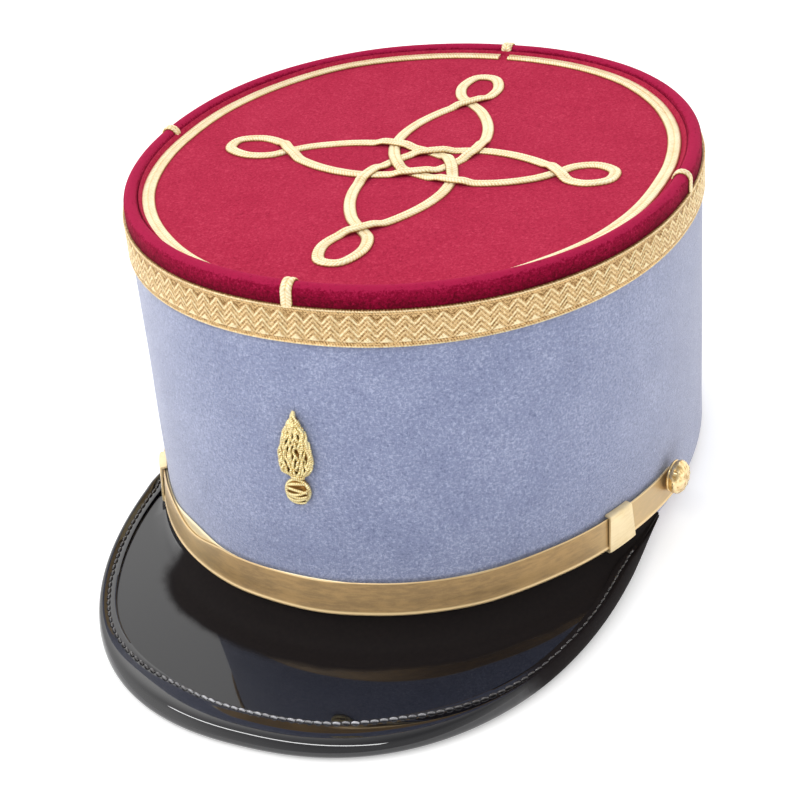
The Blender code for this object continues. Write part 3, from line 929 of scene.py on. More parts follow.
# %% Knot of braid
def knot():
    controls, over = knot_controls()
    steps = 22
    path = smooth_through(controls, steps)
    travel = travel_along(path + path[:1])
    whole = travel[-1]
    tops = [travel[index * steps] for index, top in enumerate(over) if top]
    turn = Euler((0.0, 0.0, math.radians(KNOT_TURN))).to_matrix()
    centre = Vector((KNOT_LEFT_SHIFT, KNOT_BACK_SHIFT, 0.0))
    laid = []
    for point, here in zip(path, travel):
        spans = [abs(here - top) for top in tops]
        nearest = min(min(span, whole - span) for span in spans)
        ramp = min(max((nearest - KNOT_PLATEAU) / KNOT_RAMP, 0.0), 1.0)
        height = LAID_ON + KNOT_LIFT * (1 + math.cos(math.pi * ramp)) / 2
        laid.append(CROWN_FRAME @ on_crown(turn @ point + centre + UP * height))
    piece = lay_braid("knot_braid", laid, [CROWN_UP] * len(laid), True)
    print("knot strand", round(whole / MM), "mm, crossings", len(tops))
    return dress(piece, GOLD_BRAID, ["knot"])


knot()

# %% [markdown]
# ## The ties
#
# Four short braids climb from the lace, go over the rim and end in the groove.
# They use the rim's own path, a little outside it, so they hug the roll.

# %% Ties over the rim
TIE_HEIGHT = 0.62 * MM
TIE_OFF = 0.15 * MM
# Columns: side, angle round the head, width in mm
TIES = (("front", -90.0, 3.5), ("back", 90.0, 3.6), ("left", 0.0, 2.4), ("right", 180.0, 2.8))


def tie(name, angle, width, node):
    path = []
    normals = []
    outline = rim_path(TIE_OFF, LACE_DROP + 0.4 * MM, CROWN_SINK + 0.2 * MM, 24, 10)
    facing = outward(angle)
    for index, (out, drop) in enumerate(outline):
        path.append(crest_point(angle, drop, out))
        before = outline[max(index - 1, 0)]
        after = outline[min(index + 1, len(outline) - 1)]
        over = Vector((before[1] - after[1], after[0] - before[0]))
        normals.append(facing * over.x - UP * over.y)
    piece = lay_braid(name, path, normals, False, width * MM, TIE_HEIGHT)
    return dress(piece, GOLD_BRAID, [node])


for side, angle, width in TIES:
    tie(f"tie_{side}_braid", angle, width, f"tie_{side}")

# %% [markdown]
# ## The badge
#
# The badge is embroidered in bullion, a fine coiled wire laid as short strands
# over padding. The strands follow the leaf shape of the flame: each has its place
# across the half width, and runs over a part of the height. A strand that is drawn
# alone looks stiff, so a seeded random sway moves each one a little, the same way
# at each run. The padding is painted dark brown: painted shade in the gaps behind them.

# %% Bullion finish
def bullion_finish():
    made = Finish("gold_bullion", (0.95, 0.70, 0.30), 0.30, metallic=0.9)
    turns, share = made.strip()
    coils = (turns + share).wave()
    wear_and_painted_light = made.speckle(made.place(), 1.3, 2.0)
    tone = coils * 0.5 + wear_and_painted_light * 0.6
    dark = made.blend(tone.within(0.10, 0.45), (0.45, 0.22, 0.05), (0.95, 0.70, 0.29))
    thread = made.blend(tone.within(0.35, 0.68), dark, (1.0, 0.94, 0.58))
    # Painted shade: the padding mark gives the pad a dark brown, for the shade between the strands.
    made.set("Base Color", made.blend(made.mark("shaded_padding"), thread, (0.34, 0.17, 0.045)))
    made.raise_by(coils, 0.10)
    return made.material


GOLD_BULLION = bullion_finish()


# %% Strand of bullion
COIL_PITCH = 0.55 * MM
STRAND_SIDES = 8

def strand(name, points, radius, taper=0.35):
    """Tube through points, thinner towards its ends."""
    rows = []
    travel = travel_along(points)
    hint = Vector((0.31, 0.87, 0.38))
    for index, point in enumerate(points):
        way = points[min(index + 1, len(points) - 1)] - points[max(index - 1, 0)]
        way.normalize()
        side = way.cross(hint).normalized()
        up = side.cross(way)
        share = index / (len(points) - 1)
        size = radius * (taper + (1 - taper) * math.sin(math.pi * (0.08 + 0.84 * share)) ** 0.5)
        row = []
        for corner in range(STRAND_SIDES):
            turn = math.tau * corner / STRAND_SIDES
            row.append(point + (side * math.cos(turn) + up * math.sin(turn)) * size)
        rows.append(row)
    return skin(
        name,
        rows,
        around=True,
        capped=True,
        uv=lambda row, column: (travel[row] / COIL_PITCH, column / STRAND_SIDES),
    )

# %% Flame of strands
FLAME_FOOT = 45.0 * MM
FLAME_HEIGHT = 18.6 * MM
FLAME_HALF_WIDTH = 5.0 * MM
# Columns: share of the height, share of the half width
FLAME_EDGE = (
    (0.00, 0.25), (0.05, 0.66), (0.14, 0.96), (0.26, 1.00), (0.40, 0.94), (0.55, 0.82),
    (0.70, 0.62), (0.82, 0.42), (0.92, 0.22), (1.00, 0.04),
)
# Columns: place across the half width, where the strand starts and ends in height
FLAME_STRANDS = (
    (0.92, 0.03, 0.36),
    (0.97, 0.24, 0.58),
    (0.94, 0.44, 0.74),
    (0.84, 0.62, 0.90),
    (0.74, 0.00, 0.30),
    (0.30, 0.72, 1.03),
)
FLAME_ROWS = 10
FLAME_COLUMNS = 9
FLAME_STRAND = 0.40 * MM


def flame_half(height):
    """Half width of the flame at a share of its height."""
    for (low, first), (high, second) in zip(FLAME_EDGE, FLAME_EDGE[1:]):
        if height <= high:
            return FLAME_HALF_WIDTH * (first + (second - first) * (height - low) / (high - low))
    return FLAME_HALF_WIDTH * FLAME_EDGE[-1][1]


def badge_point(across, up, out):
    """Point of the badge: across and up in metres, out from the felt."""
    angle = -90.0 + degrees_for(-90.0, across)
    return wall_point(angle, up, out)


def shaded_padding(name, rows_at, thickness):
    """Low dome over rows of (half width, level), under the strands."""
    rows = []
    for half, level in rows_at:
        row = []
        for step in range(9):
            across = step / 4 - 1.0
            out = 0.2 + thickness * (1.0 - across ** 2) ** 0.5 * min(half / (2.5 * MM), 1.0)
            row.append(badge_point(across * half, level, out * MM))
        rows.append(row)
    marks = {"shaded_padding": [1.0] * (9 * len(rows))}
    return skin(name, rows, uv=lambda row, column: (row * 1.7, column / 8), marks=marks)


def flame_strand(name, place, start, end, rise, sway):
    """Strand that runs up the flame: place across the half width, -1 to 1."""
    points = []
    for step in range(9):
        share = step / 8
        height = start + (end - start) * share
        bow = math.sin(math.pi * share)
        across = place * flame_half(max(min(height, 1.0), 0.0))
        across += sway * math.sin(math.tau * (share - 0.1)) * MM
        out = 0.30 + rise * (0.35 + 0.65 * bow)
        points.append(badge_point(across, FLAME_FOOT + height * FLAME_HEIGHT, out * MM))
    return strand(name, points, FLAME_STRAND)


def flame():
    dice = random.Random(7)
    heights = [step / 20 for step in range(21)]
    pad_rows = [(flame_half(h) * 0.86, FLAME_FOOT + h * 0.96 * FLAME_HEIGHT) for h in heights]
    parts = [shaded_padding("flame_pad", pad_rows, 0.9)]
    for side in (-1.0, 1.0):
        for place, start, end in FLAME_STRANDS:
            sway = dice.uniform(-0.3, 0.3)
            parts.append(flame_strand("edge_strand", side * place, start, end, 1.0, sway))
    for line in range(FLAME_ROWS):
        for column in range(FLAME_COLUMNS):
            start = line * 0.087 + dice.uniform(-0.03, 0.03)
            end = start + dice.uniform(0.16, 0.26)
            shift = 0.5 * (line % 2) + dice.uniform(-0.35, 0.35)
            place = min(max((column + shift) / (FLAME_COLUMNS - 1) * 2 - 1, -0.85), 0.85)
            rise = 0.8 + 1.0 * math.sqrt(1 - place ** 2) + dice.uniform(-0.25, 0.25)
            parts.append(flame_strand("flame_strand", place, start, end, rise, dice.uniform(-0.5, 0.5)))
    piece = join("flame_bullion", parts)
    return dress(piece, GOLD_BULLION, ["badge_flame"])


flame()

# %% [markdown]
# The ball under the flame is a pad with one thick cord round it and a few bent
# strands laid across, and two short strands bind it to the flame.

# %% Ball of cord
BALL_RADIUS = 3.9 * MM
BALL_LEVEL = FLAME_FOOT - CLEARANCE - BALL_RADIUS
BALL_PAD = 0.92 * BALL_RADIUS
BALL_CORD = 0.66 * MM
BALL_STRAND = 0.46 * MM
NECK_WIDTH = 3.8 * MM
NECK_RISES = (-0.3 * MM, 0.5 * MM)
# Columns: where a strand crosses the ball (-1 low, 1 high), its bow, its tilt
BALL_STRANDS = (
    (-0.62, 0.34, -0.20),
    (-0.40, 0.36, 0.10),
    (-0.16, 0.34, -0.12),
    (0.04, 0.30, 0.16),
    (0.24, -0.20, -0.14),
    (0.62, -0.26, 0.12),
)

def ball():
    pad_rows = []
    for step in range(1, 12):
        turn = math.pi * (step / 12 - 0.5)
        pad_rows.append((BALL_PAD * math.cos(turn), BALL_LEVEL + BALL_PAD * math.sin(turn)))
    parts = [shaded_padding("ball_pad", pad_rows, 1.5)]
    round_cord = []
    for step in range(49):
        turn = math.tau * (0.18 + 1.06 * step / 48)
        radius = BALL_RADIUS * (0.84 + 0.03 * math.sin(3 * turn))
        level = BALL_LEVEL + radius * math.sin(turn)
        out = 0.75 + 0.25 * math.sin(2 * turn + 0.5)
        round_cord.append(badge_point(radius * math.cos(turn), level, out * MM))
    parts.append(strand("ball_cord", round_cord, BALL_CORD, taper=0.7))
    for middle, bow, tilt in BALL_STRANDS:
        points = []
        for step in range(11):
            across = (step / 10 * 2 - 1) * 0.78 * math.sqrt(1 - middle * middle)
            up = middle + tilt * across + bow * (across * across - 0.3)
            dome = 1.9 * math.sqrt(max(1 - across * across - up * up, 0.0))
            level = BALL_LEVEL + up * BALL_RADIUS
            points.append(badge_point(across * BALL_RADIUS, level, (0.5 + dome) * MM))
        parts.append(strand("ball_strand", points, BALL_STRAND))
    for rise in NECK_RISES:
        neck = []
        for step in range(9):
            share = step / 8 - 0.5
            bow = math.cos(math.pi * share) * MM
            level = FLAME_FOOT + rise + 0.5 * bow
            neck.append(badge_point(share * NECK_WIDTH, level, 0.6 * MM + bow))
        parts.append(strand("neck_strand", neck, BALL_STRAND))
    piece = join("ball_bullion", parts)
    return dress(piece, GOLD_BULLION, ["badge_ball"])

ball()

# %% [markdown]
# ## The visor
#
# The visor is a sheet of patent leather. It leaves the wall steeply under the
# strap and runs out nearly flat to the rolled edge. Its shine tells its shape
# better than its outline does: it mirrors the felt wall in the middle and the
# bright room beside the cap, so the surface has to be truly smooth, with stations
# close together. At both tips it runs back along the wall and ends in nothing.

# %% Visor stations
VISOR_HALF_WIDTH = 79.7 * MM
VISOR_REACH = 102.2 * MM
VISOR_ROOT = -42.6 * MM
VISOR_SQUARENESS = 2.32
VISOR_TIP_RISE = 3.4 * MM
VISOR_ARC = 90.0
VISOR_TAIL = 17.0 * MM
TAIL_TURN = 15.0
VISOR_END = VISOR_ARC + TAIL_TURN
VISOR_SEAT_END = -14.2
VISOR_SEAT = 3.9 * MM
VISOR_SHEET = 2.0 * MM
SHEET_SLOPE = 0.045
ROOT_SPAN = 8.5 * MM
# Extent of the sheet's brown-black zone under the strap, a painted reflection of the strap and its shade.
STRAP_REFLECTION_FULL = 6.5 * MM
STRAP_REFLECTION_END = 18.0 * MM
STRAP_REFLECTION_ANGLES = (-136.0, -116.0)
BINDING_HEIGHT = 4.4 * MM


def visor_outline(turn):
    """Foot of the visor's edge: 0 is the front, the tails run back at the sides."""
    arc = min(max(turn, -VISOR_ARC), VISOR_ARC)
    tail = (abs(turn) - abs(arc)) / TAIL_TURN
    sine = math.sin(math.radians(arc))
    cosine = math.cos(math.radians(arc))
    power = 2.0 / VISOR_SQUARENESS
    x = VISOR_HALF_WIDTH * math.copysign(abs(sine) ** power, sine)
    y = VISOR_ROOT - VISOR_REACH * abs(cosine) ** power + VISOR_TAIL * tail
    z = VISOR_TIP_RISE * (y + VISOR_REACH - VISOR_ROOT) / VISOR_REACH
    return Vector((x, y + MIDDLE_Y, z))


VISOR_TURNS, EDGE_LENGTH = even_angles(340, -VISOR_END, 2 * VISOR_END, visor_outline)


def visor_station(turn):
    """Wall angle, foot of the edge, way in, width, edge fold and seam, at a turn."""
    foot = visor_outline(turn)
    angle = -90.0 + (90.0 + VISOR_SEAT_END) * turn / VISOR_END
    inward = wall_point(angle, VISOR_SEAT, CLEARANCE) - foot
    inward.z = 0.0
    width = inward.length
    to_side = between(abs(turn - 4.0), 18.0, 58.0)
    fold = min((10.9 - 4.2 * to_side) * MM, width * 0.62)
    seam = fold * (0.93 - 0.35 * to_side)
    return angle, foot, inward.normalized(), width, fold, seam


STATIONS = [visor_station(turn) for turn in VISOR_TURNS]
print("edge of the visor", round(EDGE_LENGTH / MM), "mm")


# %% [markdown]
# Patent leather is black lacquer over leather: a dark body under a clear, hard
# coat. The body can be rough while the coat stays like glass. Under the strap the
# sheet is painted a matt brown-black, a painted reflection of the strap and its
# shade, and a few dull specks of wear lie here and there; in both the roughness
# of the body and its colour change, and the coat goes. The rolled edge is
# crinkled and dull in the same way at the wearer's left.

# %% Patent leather finish
INK = (0.0035, 0.0035, 0.006)


def patent_finish(name, matt_mark, gloss):
    """Patent leather, matt and brown-black where the mark is high: a painted reflection of the strap on
    the sheet, crinkled wear on the edge.
    """
    made = Finish(name, INK, 0.30, coat_roughness=0.03, coat_ior=gloss, specular_ior_level=0.04)
    here = made.place()
    grain = made.speckle(here, 1.1, 3.0)
    cloud = made.speckle(here, 9.0, 3.0)
    waves = made.speckle(here, 16.0, 1.0)
    specks = made.speckle(here, 0.9, 1.0).within(0.74, 0.80) * cloud.within(0.45, 0.62)
    wear_and_painted_light = (made.mark(matt_mark) * 1.5 + cloud * 0.5 - 0.4).within(0.0, 0.9)
    haze = specks * 0.4 + wear_and_painted_light
    # Where the haze is high the body turns brown-black: a painted reflection of the strap under it, and
    # wear in the specks and on the edge.
    made.set("Base Color", made.blend(haze * (0.5 + grain * 0.5), INK, (0.019, 0.015, 0.014)))
    made.set("Roughness", 0.25 + haze * 0.40)
    made.set("Coat Weight", (1.0 - haze * (1.0 + grain * 0.2)).within(0.0, 1.0))
    made.raise_by(waves * 0.7 + cloud * 0.25 + grain * (wear_and_painted_light * 0.5 + 0.05), 0.04)
    return made.material


PATENT = patent_finish("patent_leather", "near_wall", 1.56)
PATENT_EDGE = patent_finish("patent_edge", "crinkled", 1.70)


# %% Visor sheet
def sheet_point(seat, lap, share, root):
    """Point of the sheet between the wall and the fold, steep over the root only."""
    point = seat.lerp(lap, share)
    length = Vector((seat.x - lap.x, seat.y - lap.y)).length
    flat = SHEET_SLOPE * length * (1 - share)
    steep = max(1 - share * length / root, 0.0) ** 2.6
    rest = seat.z - lap.z - SHEET_SLOPE * length
    point.z = lap.z + flat + rest * steep
    return point


def visor_row(station):
    """Section of the sheet: flange on the wall, top face, edge, underside."""
    angle, foot, inward, width, fold, seam = station
    seat_level = VISOR_SEAT * (0.5 + 0.5 * between(width, 0.3 * MM, 2.5 * MM))
    seat = wall_point(angle, seat_level, CLEARANCE)
    sheet_foot = (BINDING_HEIGHT - VISOR_SHEET) / 2
    lap = foot + inward * fold * 0.9 + UP * (sheet_foot + VISOR_SHEET)
    edge = foot + inward * min(1.1 * MM, fold * 0.5) + UP * (sheet_foot + VISOR_SHEET)
    root = min(ROOT_SPAN, 0.45 * width)
    row = []
    for step in range(41):
        row.append(sheet_point(seat, lap, (step / 40) ** 1.5, root))
    row.append(edge)
    # Mark of the painted reflection of the strap: full next to the wall, fading out across the sheet.
    here = between(angle, *STRAP_REFLECTION_ANGLES)
    wear_and_painted_light = []
    for point in row:
        away = math.hypot(point.x - seat.x, point.y - seat.y)
        wear_and_painted_light.append(here - here * between(away, STRAP_REFLECTION_FULL, STRAP_REFLECTION_END))
    row.append(edge - UP * VISOR_SHEET)
    for step in range(17):
        share = 1 - 0.97 * step / 16
        thick = VISOR_SHEET * between(share * width, 0.0, 7.0 * MM)
        row.append(sheet_point(seat, lap, share, root) - UP * thick)
    row.append(wall_point(angle, 0.1 * MM, CLEARANCE + 0.2 * MM))
    row.append(wall_point(angle, 0.1 * MM, CLEARANCE))
    return row, wear_and_painted_light + [0.0] * (len(row) - len(wear_and_painted_light))


def visor():
    made = [visor_row(station) for station in STATIONS]
    marks = {"near_wall": [value for _, near in made for value in near]}
    piece = skin("visor_patent", [row for row, _ in made], around=True, capped=True, marks=marks)
    return dress(piece, PATENT, ["visor"])


visor()

# %% [markdown]
# ## The rolled edge
#
# A strip of the same leather is folded over the visor's edge and sewn through.
# Its section says most: a cut edge lying on the sheet, a shallow channel that
# the stitches pull down, then the full round lip. One table holds it. The way in
# counts 1 at the seam and 2 at the cut edge, because the seam runs well back from
# the lip in front and close to it at the sides, and the fold narrows there too.

# %% Rolled edge of the visor
EDGE_MIDDLE = 2.0
TIP_SHARE = 0.06
TIP_START = 1.4 * MM
TIP_END = 9.0 * MM
CRINKLE = 0.62
CRINKLE_TURNS = (38.0, 66.0)
# Columns: way in (1 at the seam, 2 at the cut edge), height in mm
BINDING_TABLE = (
    (2.00, 3.25), (1.98, 3.80), (1.90, 4.08), (1.60, 4.16), (1.30, 4.05), (1.00, 3.86),
    (0.93, 3.92), (0.86, 4.08), (0.76, 4.32), (0.64, 4.60), (0.52, 4.86), (0.41, 4.98),
    (0.31, 4.92), (0.22, 4.66), (0.14, 4.22), (0.075, 3.62), (0.028, 2.92), (0.00, 2.15),
    (0.012, 1.40), (0.055, 0.72), (0.12, 0.25), (0.21, 0.02), (0.32, 0.00), (0.46, 0.20),
    (0.80, 0.35), (1.90, 0.40), (1.94, 0.80), (1.92, 1.15),
)


def way_in(value, fold, seam):
    """Distance in from the edge for a way-in value of the table."""
    return seam * min(value, 1.0) + (fold - seam) * max(value - 1.0, 0.0)


def binding():
    rows = []
    crinkled = []
    for turn, (angle, foot, inward, width, fold, seam) in zip(VISOR_TURNS, STATIONS):
        full = TIP_SHARE + (1 - TIP_SHARE) * between(width, TIP_START, TIP_END)
        crinkled.extend([CRINKLE * between(turn, *CRINKLE_TURNS)] * len(BINDING_TABLE))
        row = []
        for value, height in BINDING_TABLE:
            lift = EDGE_MIDDLE + (height - EDGE_MIDDLE) * full
            row.append(foot + inward * way_in(value, fold, seam) + UP * lift * MM)
        rows.append(row)
    marks = {"crinkled": crinkled}
    piece = skin("visor_edge_patent", rows, around=True, capped=True, marks=marks)
    return dress(piece, PATENT_EDGE, ["visor_binding"])


binding()

# %% [markdown]
# The stitches are waxed thread, about two millimetres long. They are so small
# that only their tops show, but each one catches a spark of light, which a drawn
# line would not. Their colour is painted bright in front, a painted glint where
# the light falls, and dark at the sides. One small bead shape is copied along the channel.

# %% Stitches along the edge
STITCH_PITCH = 2.7 * MM
STITCH_LENGTH = 2.1 * MM
STITCH_RADIUS = 0.42 * MM
STITCH_LEVEL = 3.98 * MM
STITCH_COVER = 0.88
SHINE_MIDDLE = 0.53
SHINE_HALF = 0.07
SHINE_END = 0.17


def stitch_line(share):
    """Point in the stitch channel at a share of the way along the edge."""
    place_at = share * (len(STATIONS) - 1)
    index = min(int(place_at), len(STATIONS) - 2)
    ends = []
    for angle, foot, inward, width, fold, seam in STATIONS[index:index + 2]:
        ends.append(foot + inward * seam + UP * STITCH_LEVEL)
    return ends[0].lerp(ends[1], place_at - index)


def stitches():
    dice = random.Random(3)
    covered = STITCH_COVER
    count = int(EDGE_LENGTH * covered / STITCH_PITCH)
    parts = []
    for index in range(count):
        middle = (1 - covered) / 2 + covered * (index + 0.5) / count
        half = STITCH_LENGTH / EDGE_LENGTH / 2
        points = []
        sway = dice.uniform(-0.12, 0.12) * MM
        across = (stitch_line(middle + half) - stitch_line(middle - half)).cross(UP).normalized()
        for step in range(9):
            share = step / 8 * 2 - 1
            point = stitch_line(middle + half * share)
            lift = 0.26 * (1 - share * share) * MM
            points.append(point + across * (0.14 * MM * share + sway) + UP * (lift - 0.12 * MM))
        parts.append(strand("stitch", points, STITCH_RADIUS, taper=0.45))
        # Painted glint: stitches near the front get a bright thread colour, the others a dark one.
        lit = 1.0 - between(abs(middle - SHINE_MIDDLE), SHINE_HALF, SHINE_END)
        lit *= dice.uniform(0.35, 1.0)
        shine = parts[-1].data.attributes.new("shine", "FLOAT", "POINT")
        shine.data.foreach_set("value", [lit] * len(parts[-1].data.vertices))
    piece = join("visor_stitches", parts)
    thread = Finish("waxed_thread", INK, 0.24, metallic=0.3, coat_weight=0.8, coat_roughness=0.10)
    thread.set("Base Color", thread.blend(thread.mark("shine"), (0.07, 0.065, 0.065), (0.62, 0.62, 0.66)))
    turns, share = thread.strip()
    thread.raise_by((turns * 1.2 + share * 2.0).wave(), 0.06)
    print("stitches:", count)
    return dress(piece, thread.material)


stitches()

# %% [markdown]
# ## The chin strap
#
# The strap is thin leather with gold lacquer, doubled from button to button. A
# crease made with a hot iron leaves a raised bead along its lower edge. The strap
# leans out over the visor, so its top edge lies against the wall. The two layers
# part a little on the wearer's right, where the inner one shows above the outer.
# The bead and the top edge carry painted highlights, and the strap is painted
# paler towards both ends.

# %% Gilt leather finish
def gilt_leather(name, deep, body, bright, painted_edge_light):
    made = Finish(name, body, 0.30, metallic=0.55, coat_weight=0.25, coat_roughness=0.2)
    along, share = made.strip()
    # Painted highlight: the bead along the lower edge and the top edge get the bright colour.
    bead = 1.0 - share.within(0.10, 0.14)
    edge = bead.math("MAXIMUM", bead, share.within(0.96, 0.98) * 0.7) * painted_edge_light
    here = made.place()
    brushed = made.speckle(here, 0.9, 3.0, 0.3, (4.5, 4.5, 0.8))
    cloud = made.speckle(here, 11.0, 2.0)
    crazing = made.speckle(here, 0.55, 2.0)
    tone = brushed * 0.5 + cloud * 0.5 + crazing * 0.12 - 0.06
    # Painted light: both long edges of the strap are a little lighter.
    side = (share - 0.55).math("ABSOLUTE").within(0.22, 0.42) * 0.16
    dark = made.blend(tone.within(0.34, 0.66), deep, body)
    # A mark from the strap paints it lighter towards both ends: painted light.
    dark = made.blend(made.mark("pale") + side * painted_edge_light, dark, bright)
    made.set("Base Color", made.blend(edge, dark, bright))
    made.set("Roughness", 0.27 + brushed * 0.14 + crazing * 0.06)
    made.raise_by(brushed * 0.5 + crazing * 0.5, 0.05)
    return made.material


STRAP_TONES = ((0.17, 0.09, 0.024), (0.35, 0.20, 0.062), (0.88, 0.65, 0.34))
LINER_TONES = ((0.80, 0.64, 0.34), (0.95, 0.80, 0.50), (1.0, 0.88, 0.60))
SLIDE_TONES = ((0.82, 0.63, 0.33), (0.93, 0.76, 0.46), (0.98, 0.84, 0.56))
STRAP_LEATHER = gilt_leather("gilt_leather", *STRAP_TONES, 1.0)
LINER_LEATHER = gilt_leather("pale_gilt_leather", *LINER_TONES, 1.0)
SLIDE_LEATHER = gilt_leather("slide_leather", *SLIDE_TONES, 0.5)

# %% Strap layers
STRAP_LEVEL = 9.9 * MM
STRAP_WIDTH = 9.6 * MM
STRAP_LAYER = 0.75 * MM
STRAP_LEAN = 0.9 * MM
STRAP_TAIL = 5.2 * MM
END_SAG = 0.8 * MM
INNER_LOW = 0.5 * MM
BUTTON_ANGLE = 11.0
PEEK_ANGLE = -121.0
PEEK_HALF_SPAN = 12.5
PEEK_RISE = 0.9 * MM
PEEK_SAG = 2.3 * MM
INNER_LAYER = CLEARANCE
OUTER_LAYER = 2 * CLEARANCE + STRAP_LAYER
# Columns: share of the width from the lower edge, share of the thickness
STRAP_TABLE = (
    (0.00, 0.45), (0.02, 0.85), (0.045, 1.08), (0.08, 1.12), (0.11, 1.00), (0.135, 0.80),
    (0.17, 0.74), (0.35, 0.78), (0.50, 0.80), (0.65, 0.78), (0.80, 0.78), (0.90, 0.78),
    (0.96, 0.76), (0.99, 0.66), (1.00, 0.42), (0.98, 0.05), (0.50, 0.00), (0.02, 0.05),
)


def peek(angle):
    """1 where the layers of the strap part most, 0 away from there."""
    away = min(abs(angle - PEEK_ANGLE) / PEEK_HALF_SPAN, 1.0)
    return (1 + math.cos(math.pi * away)) / 2


def strap(name, inside, parting, material, node):
    end = -BUTTON_ANGLE + degrees_for(-BUTTON_ANGLE, STRAP_TAIL)
    angles, length = even_angles(360, end, -180.0 - 2 * end, lambda a: wall_point(a, STRAP_LEVEL))
    rows = []
    travel = []
    marks = []
    for index, angle in enumerate(angles):
        from_end = min(index, 360 - index) / 360 * length
        round_end = min(from_end / (STRAP_WIDTH / 2), 1.0)
        share = math.sqrt(max(1 - (1 - round_end) ** 2, 0.02))
        from_front = abs(angle + 90.0)
        level = STRAP_LEVEL - END_SAG * between(from_front, 62.0, 78.0)
        if parting > 0:
            level -= INNER_LOW * (1.0 - peek(angle))
        # Painted light: the strap is painted paler towards both of its ends.
        pale = 0.40 * between(angle, -40.0, -20.0) + 0.35 * between(-angle, 104.0, 124.0)
        level += uneven(Vector((angle * 0.08, 5.0 + inside / MM, 0.0)), 1.0, 0.35 * MM)
        puff = uneven(Vector((angle * 0.05, 9.0, 0.0)), 1.0, 0.25 * MM) * share
        row = []
        for up, thick in STRAP_TABLE:
            height = level + (up - 0.5) * STRAP_WIDTH * share + parting * peek(angle) * up
            lean = (0.5 - up) * STRAP_LEAN * inside / OUTER_LAYER
            row.append(wall_point(angle, height, inside + thick * STRAP_LAYER + lean + puff))
            marks.append(pale)
        rows.append(row)
        travel.append(index / 360 * length / (10 * MM))
    places = [up for up, _ in STRAP_TABLE] + [0.0]
    piece = skin(
        name,
        rows,
        around=True,
        capped=True,
        uv=lambda row, column: (travel[row], places[column]),
        marks={"pale": marks},
    )
    print("strap layer", round(length / MM), "mm long")
    return dress(piece, material, [node])


strap("strap_inner_leather", INNER_LAYER, PEEK_RISE, LINER_LEATHER, "strap_inner")
strap("strap_outer_leather", OUTER_LAYER, -PEEK_SAG, STRAP_LEATHER, "strap_outer")

# %% [markdown]
# ## The slides
#
# Each slide is a loop of the same leather with the lacquer side out. It wraps
# both layers, so its section is the strap's, one leather thickness larger, with
# soft corners. It is a little wider at its lower end, as cut by hand.

# %% Slides on the strap
SLIDE_LEFT_ANGLE = -26.9
SLIDE_RIGHT_ANGLE = -145.0
SLIDE_HALF = 3.05
SLIDE_LIP = 0.6 * MM


def slide(name, middle, node):
    half = STRAP_WIDTH / 2 + CLEARANCE
    front = OUTER_LAYER + STRAP_LAYER + CLEARANCE
    outer = []
    for across, up in ((0, 1), (0.85, 1), (1, 0.94), (1, 0.4), (1, -0.4), (1, -0.94), (0.85, -1), (0, -1)):
        outer.append((across * (front + SLIDE_LIP), up * (half + SLIDE_LIP)))
    inner = [(front, -half), (front, half)]
    outline = [(max(a, CLEARANCE), u) for a, u in outer]
    outline += [(CLEARANCE, -half)] + inner + [(CLEARANCE, half)]
    rows = []
    for step in range(17):
        share = step / 16 * 2 - 1
        pinch = 1.0 - 0.05 * share ** 8
        row = []
        for out, up in outline:
            angle = middle + SLIDE_HALF * share * (1.0 - 0.08 * up / half)
            lean = -0.4 * STRAP_LEAN * up / half if out > CLEARANCE else 0.0
            row.append(wall_point(angle, STRAP_LEVEL + up, out * pinch + lean))
        rows.append(row)
    count = len(outline)

    def strip(row, column):
        return row / 16, 0.5 + 0.02 * column / count

    piece = skin(name, rows, around=True, capped=True, uv=strip)
    return dress(piece, SLIDE_LEATHER, [node])


slide("slide_left_leather", SLIDE_LEFT_ANGLE, "slide_left")
slide("slide_right_leather", SLIDE_RIGHT_ANGLE, "slide_right")

# %% [markdown]
# ## The buttons
#
# A gilt button is a stamped dome on a flat rim. The relief on it is kept plain
# here, small hammered facets that break the light as a worn stamping does. The
# dome is turned from an outline and then pushed in and out by noise.

# %% Gilt buttons
BUTTON_LEVEL = 12.0 * MM
BUTTON_RADIUS = 5.1 * MM
BUTTON_HEIGHT = 4.9 * MM
# Columns: share of the radius, share of the height
BUTTON_TABLE = (
    (0.70, 0.00), (0.90, 0.02), (0.95, 0.07), (0.95, 0.14), (0.92, 0.18), (0.95, 0.24),
    (0.985, 0.33), (1.00, 0.44), (0.98, 0.56), (0.93, 0.67), (0.85, 0.77), (0.74, 0.85),
    (0.61, 0.91), (0.46, 0.955), (0.30, 0.98), (0.15, 0.995), (0.04, 1.00),
)


def brass_finish():
    made = Finish("gilt_brass", (0.93, 0.70, 0.34), 0.20, metallic=1.0)
    rise = made.mark("rise")
    tarnish = made.speckle(made.place(), 1.4, 3.0)
    wear_and_painted_light = rise * 0.6 + tarnish * 0.5
    made.set("Base Color", made.blend(wear_and_painted_light.within(0.2, 0.75), (0.50, 0.28, 0.07), (1.0, 0.80, 0.45)))
    made.set("Roughness", 0.34 - wear_and_painted_light * 0.18)
    return made.material


GILT_BRASS = brass_finish()


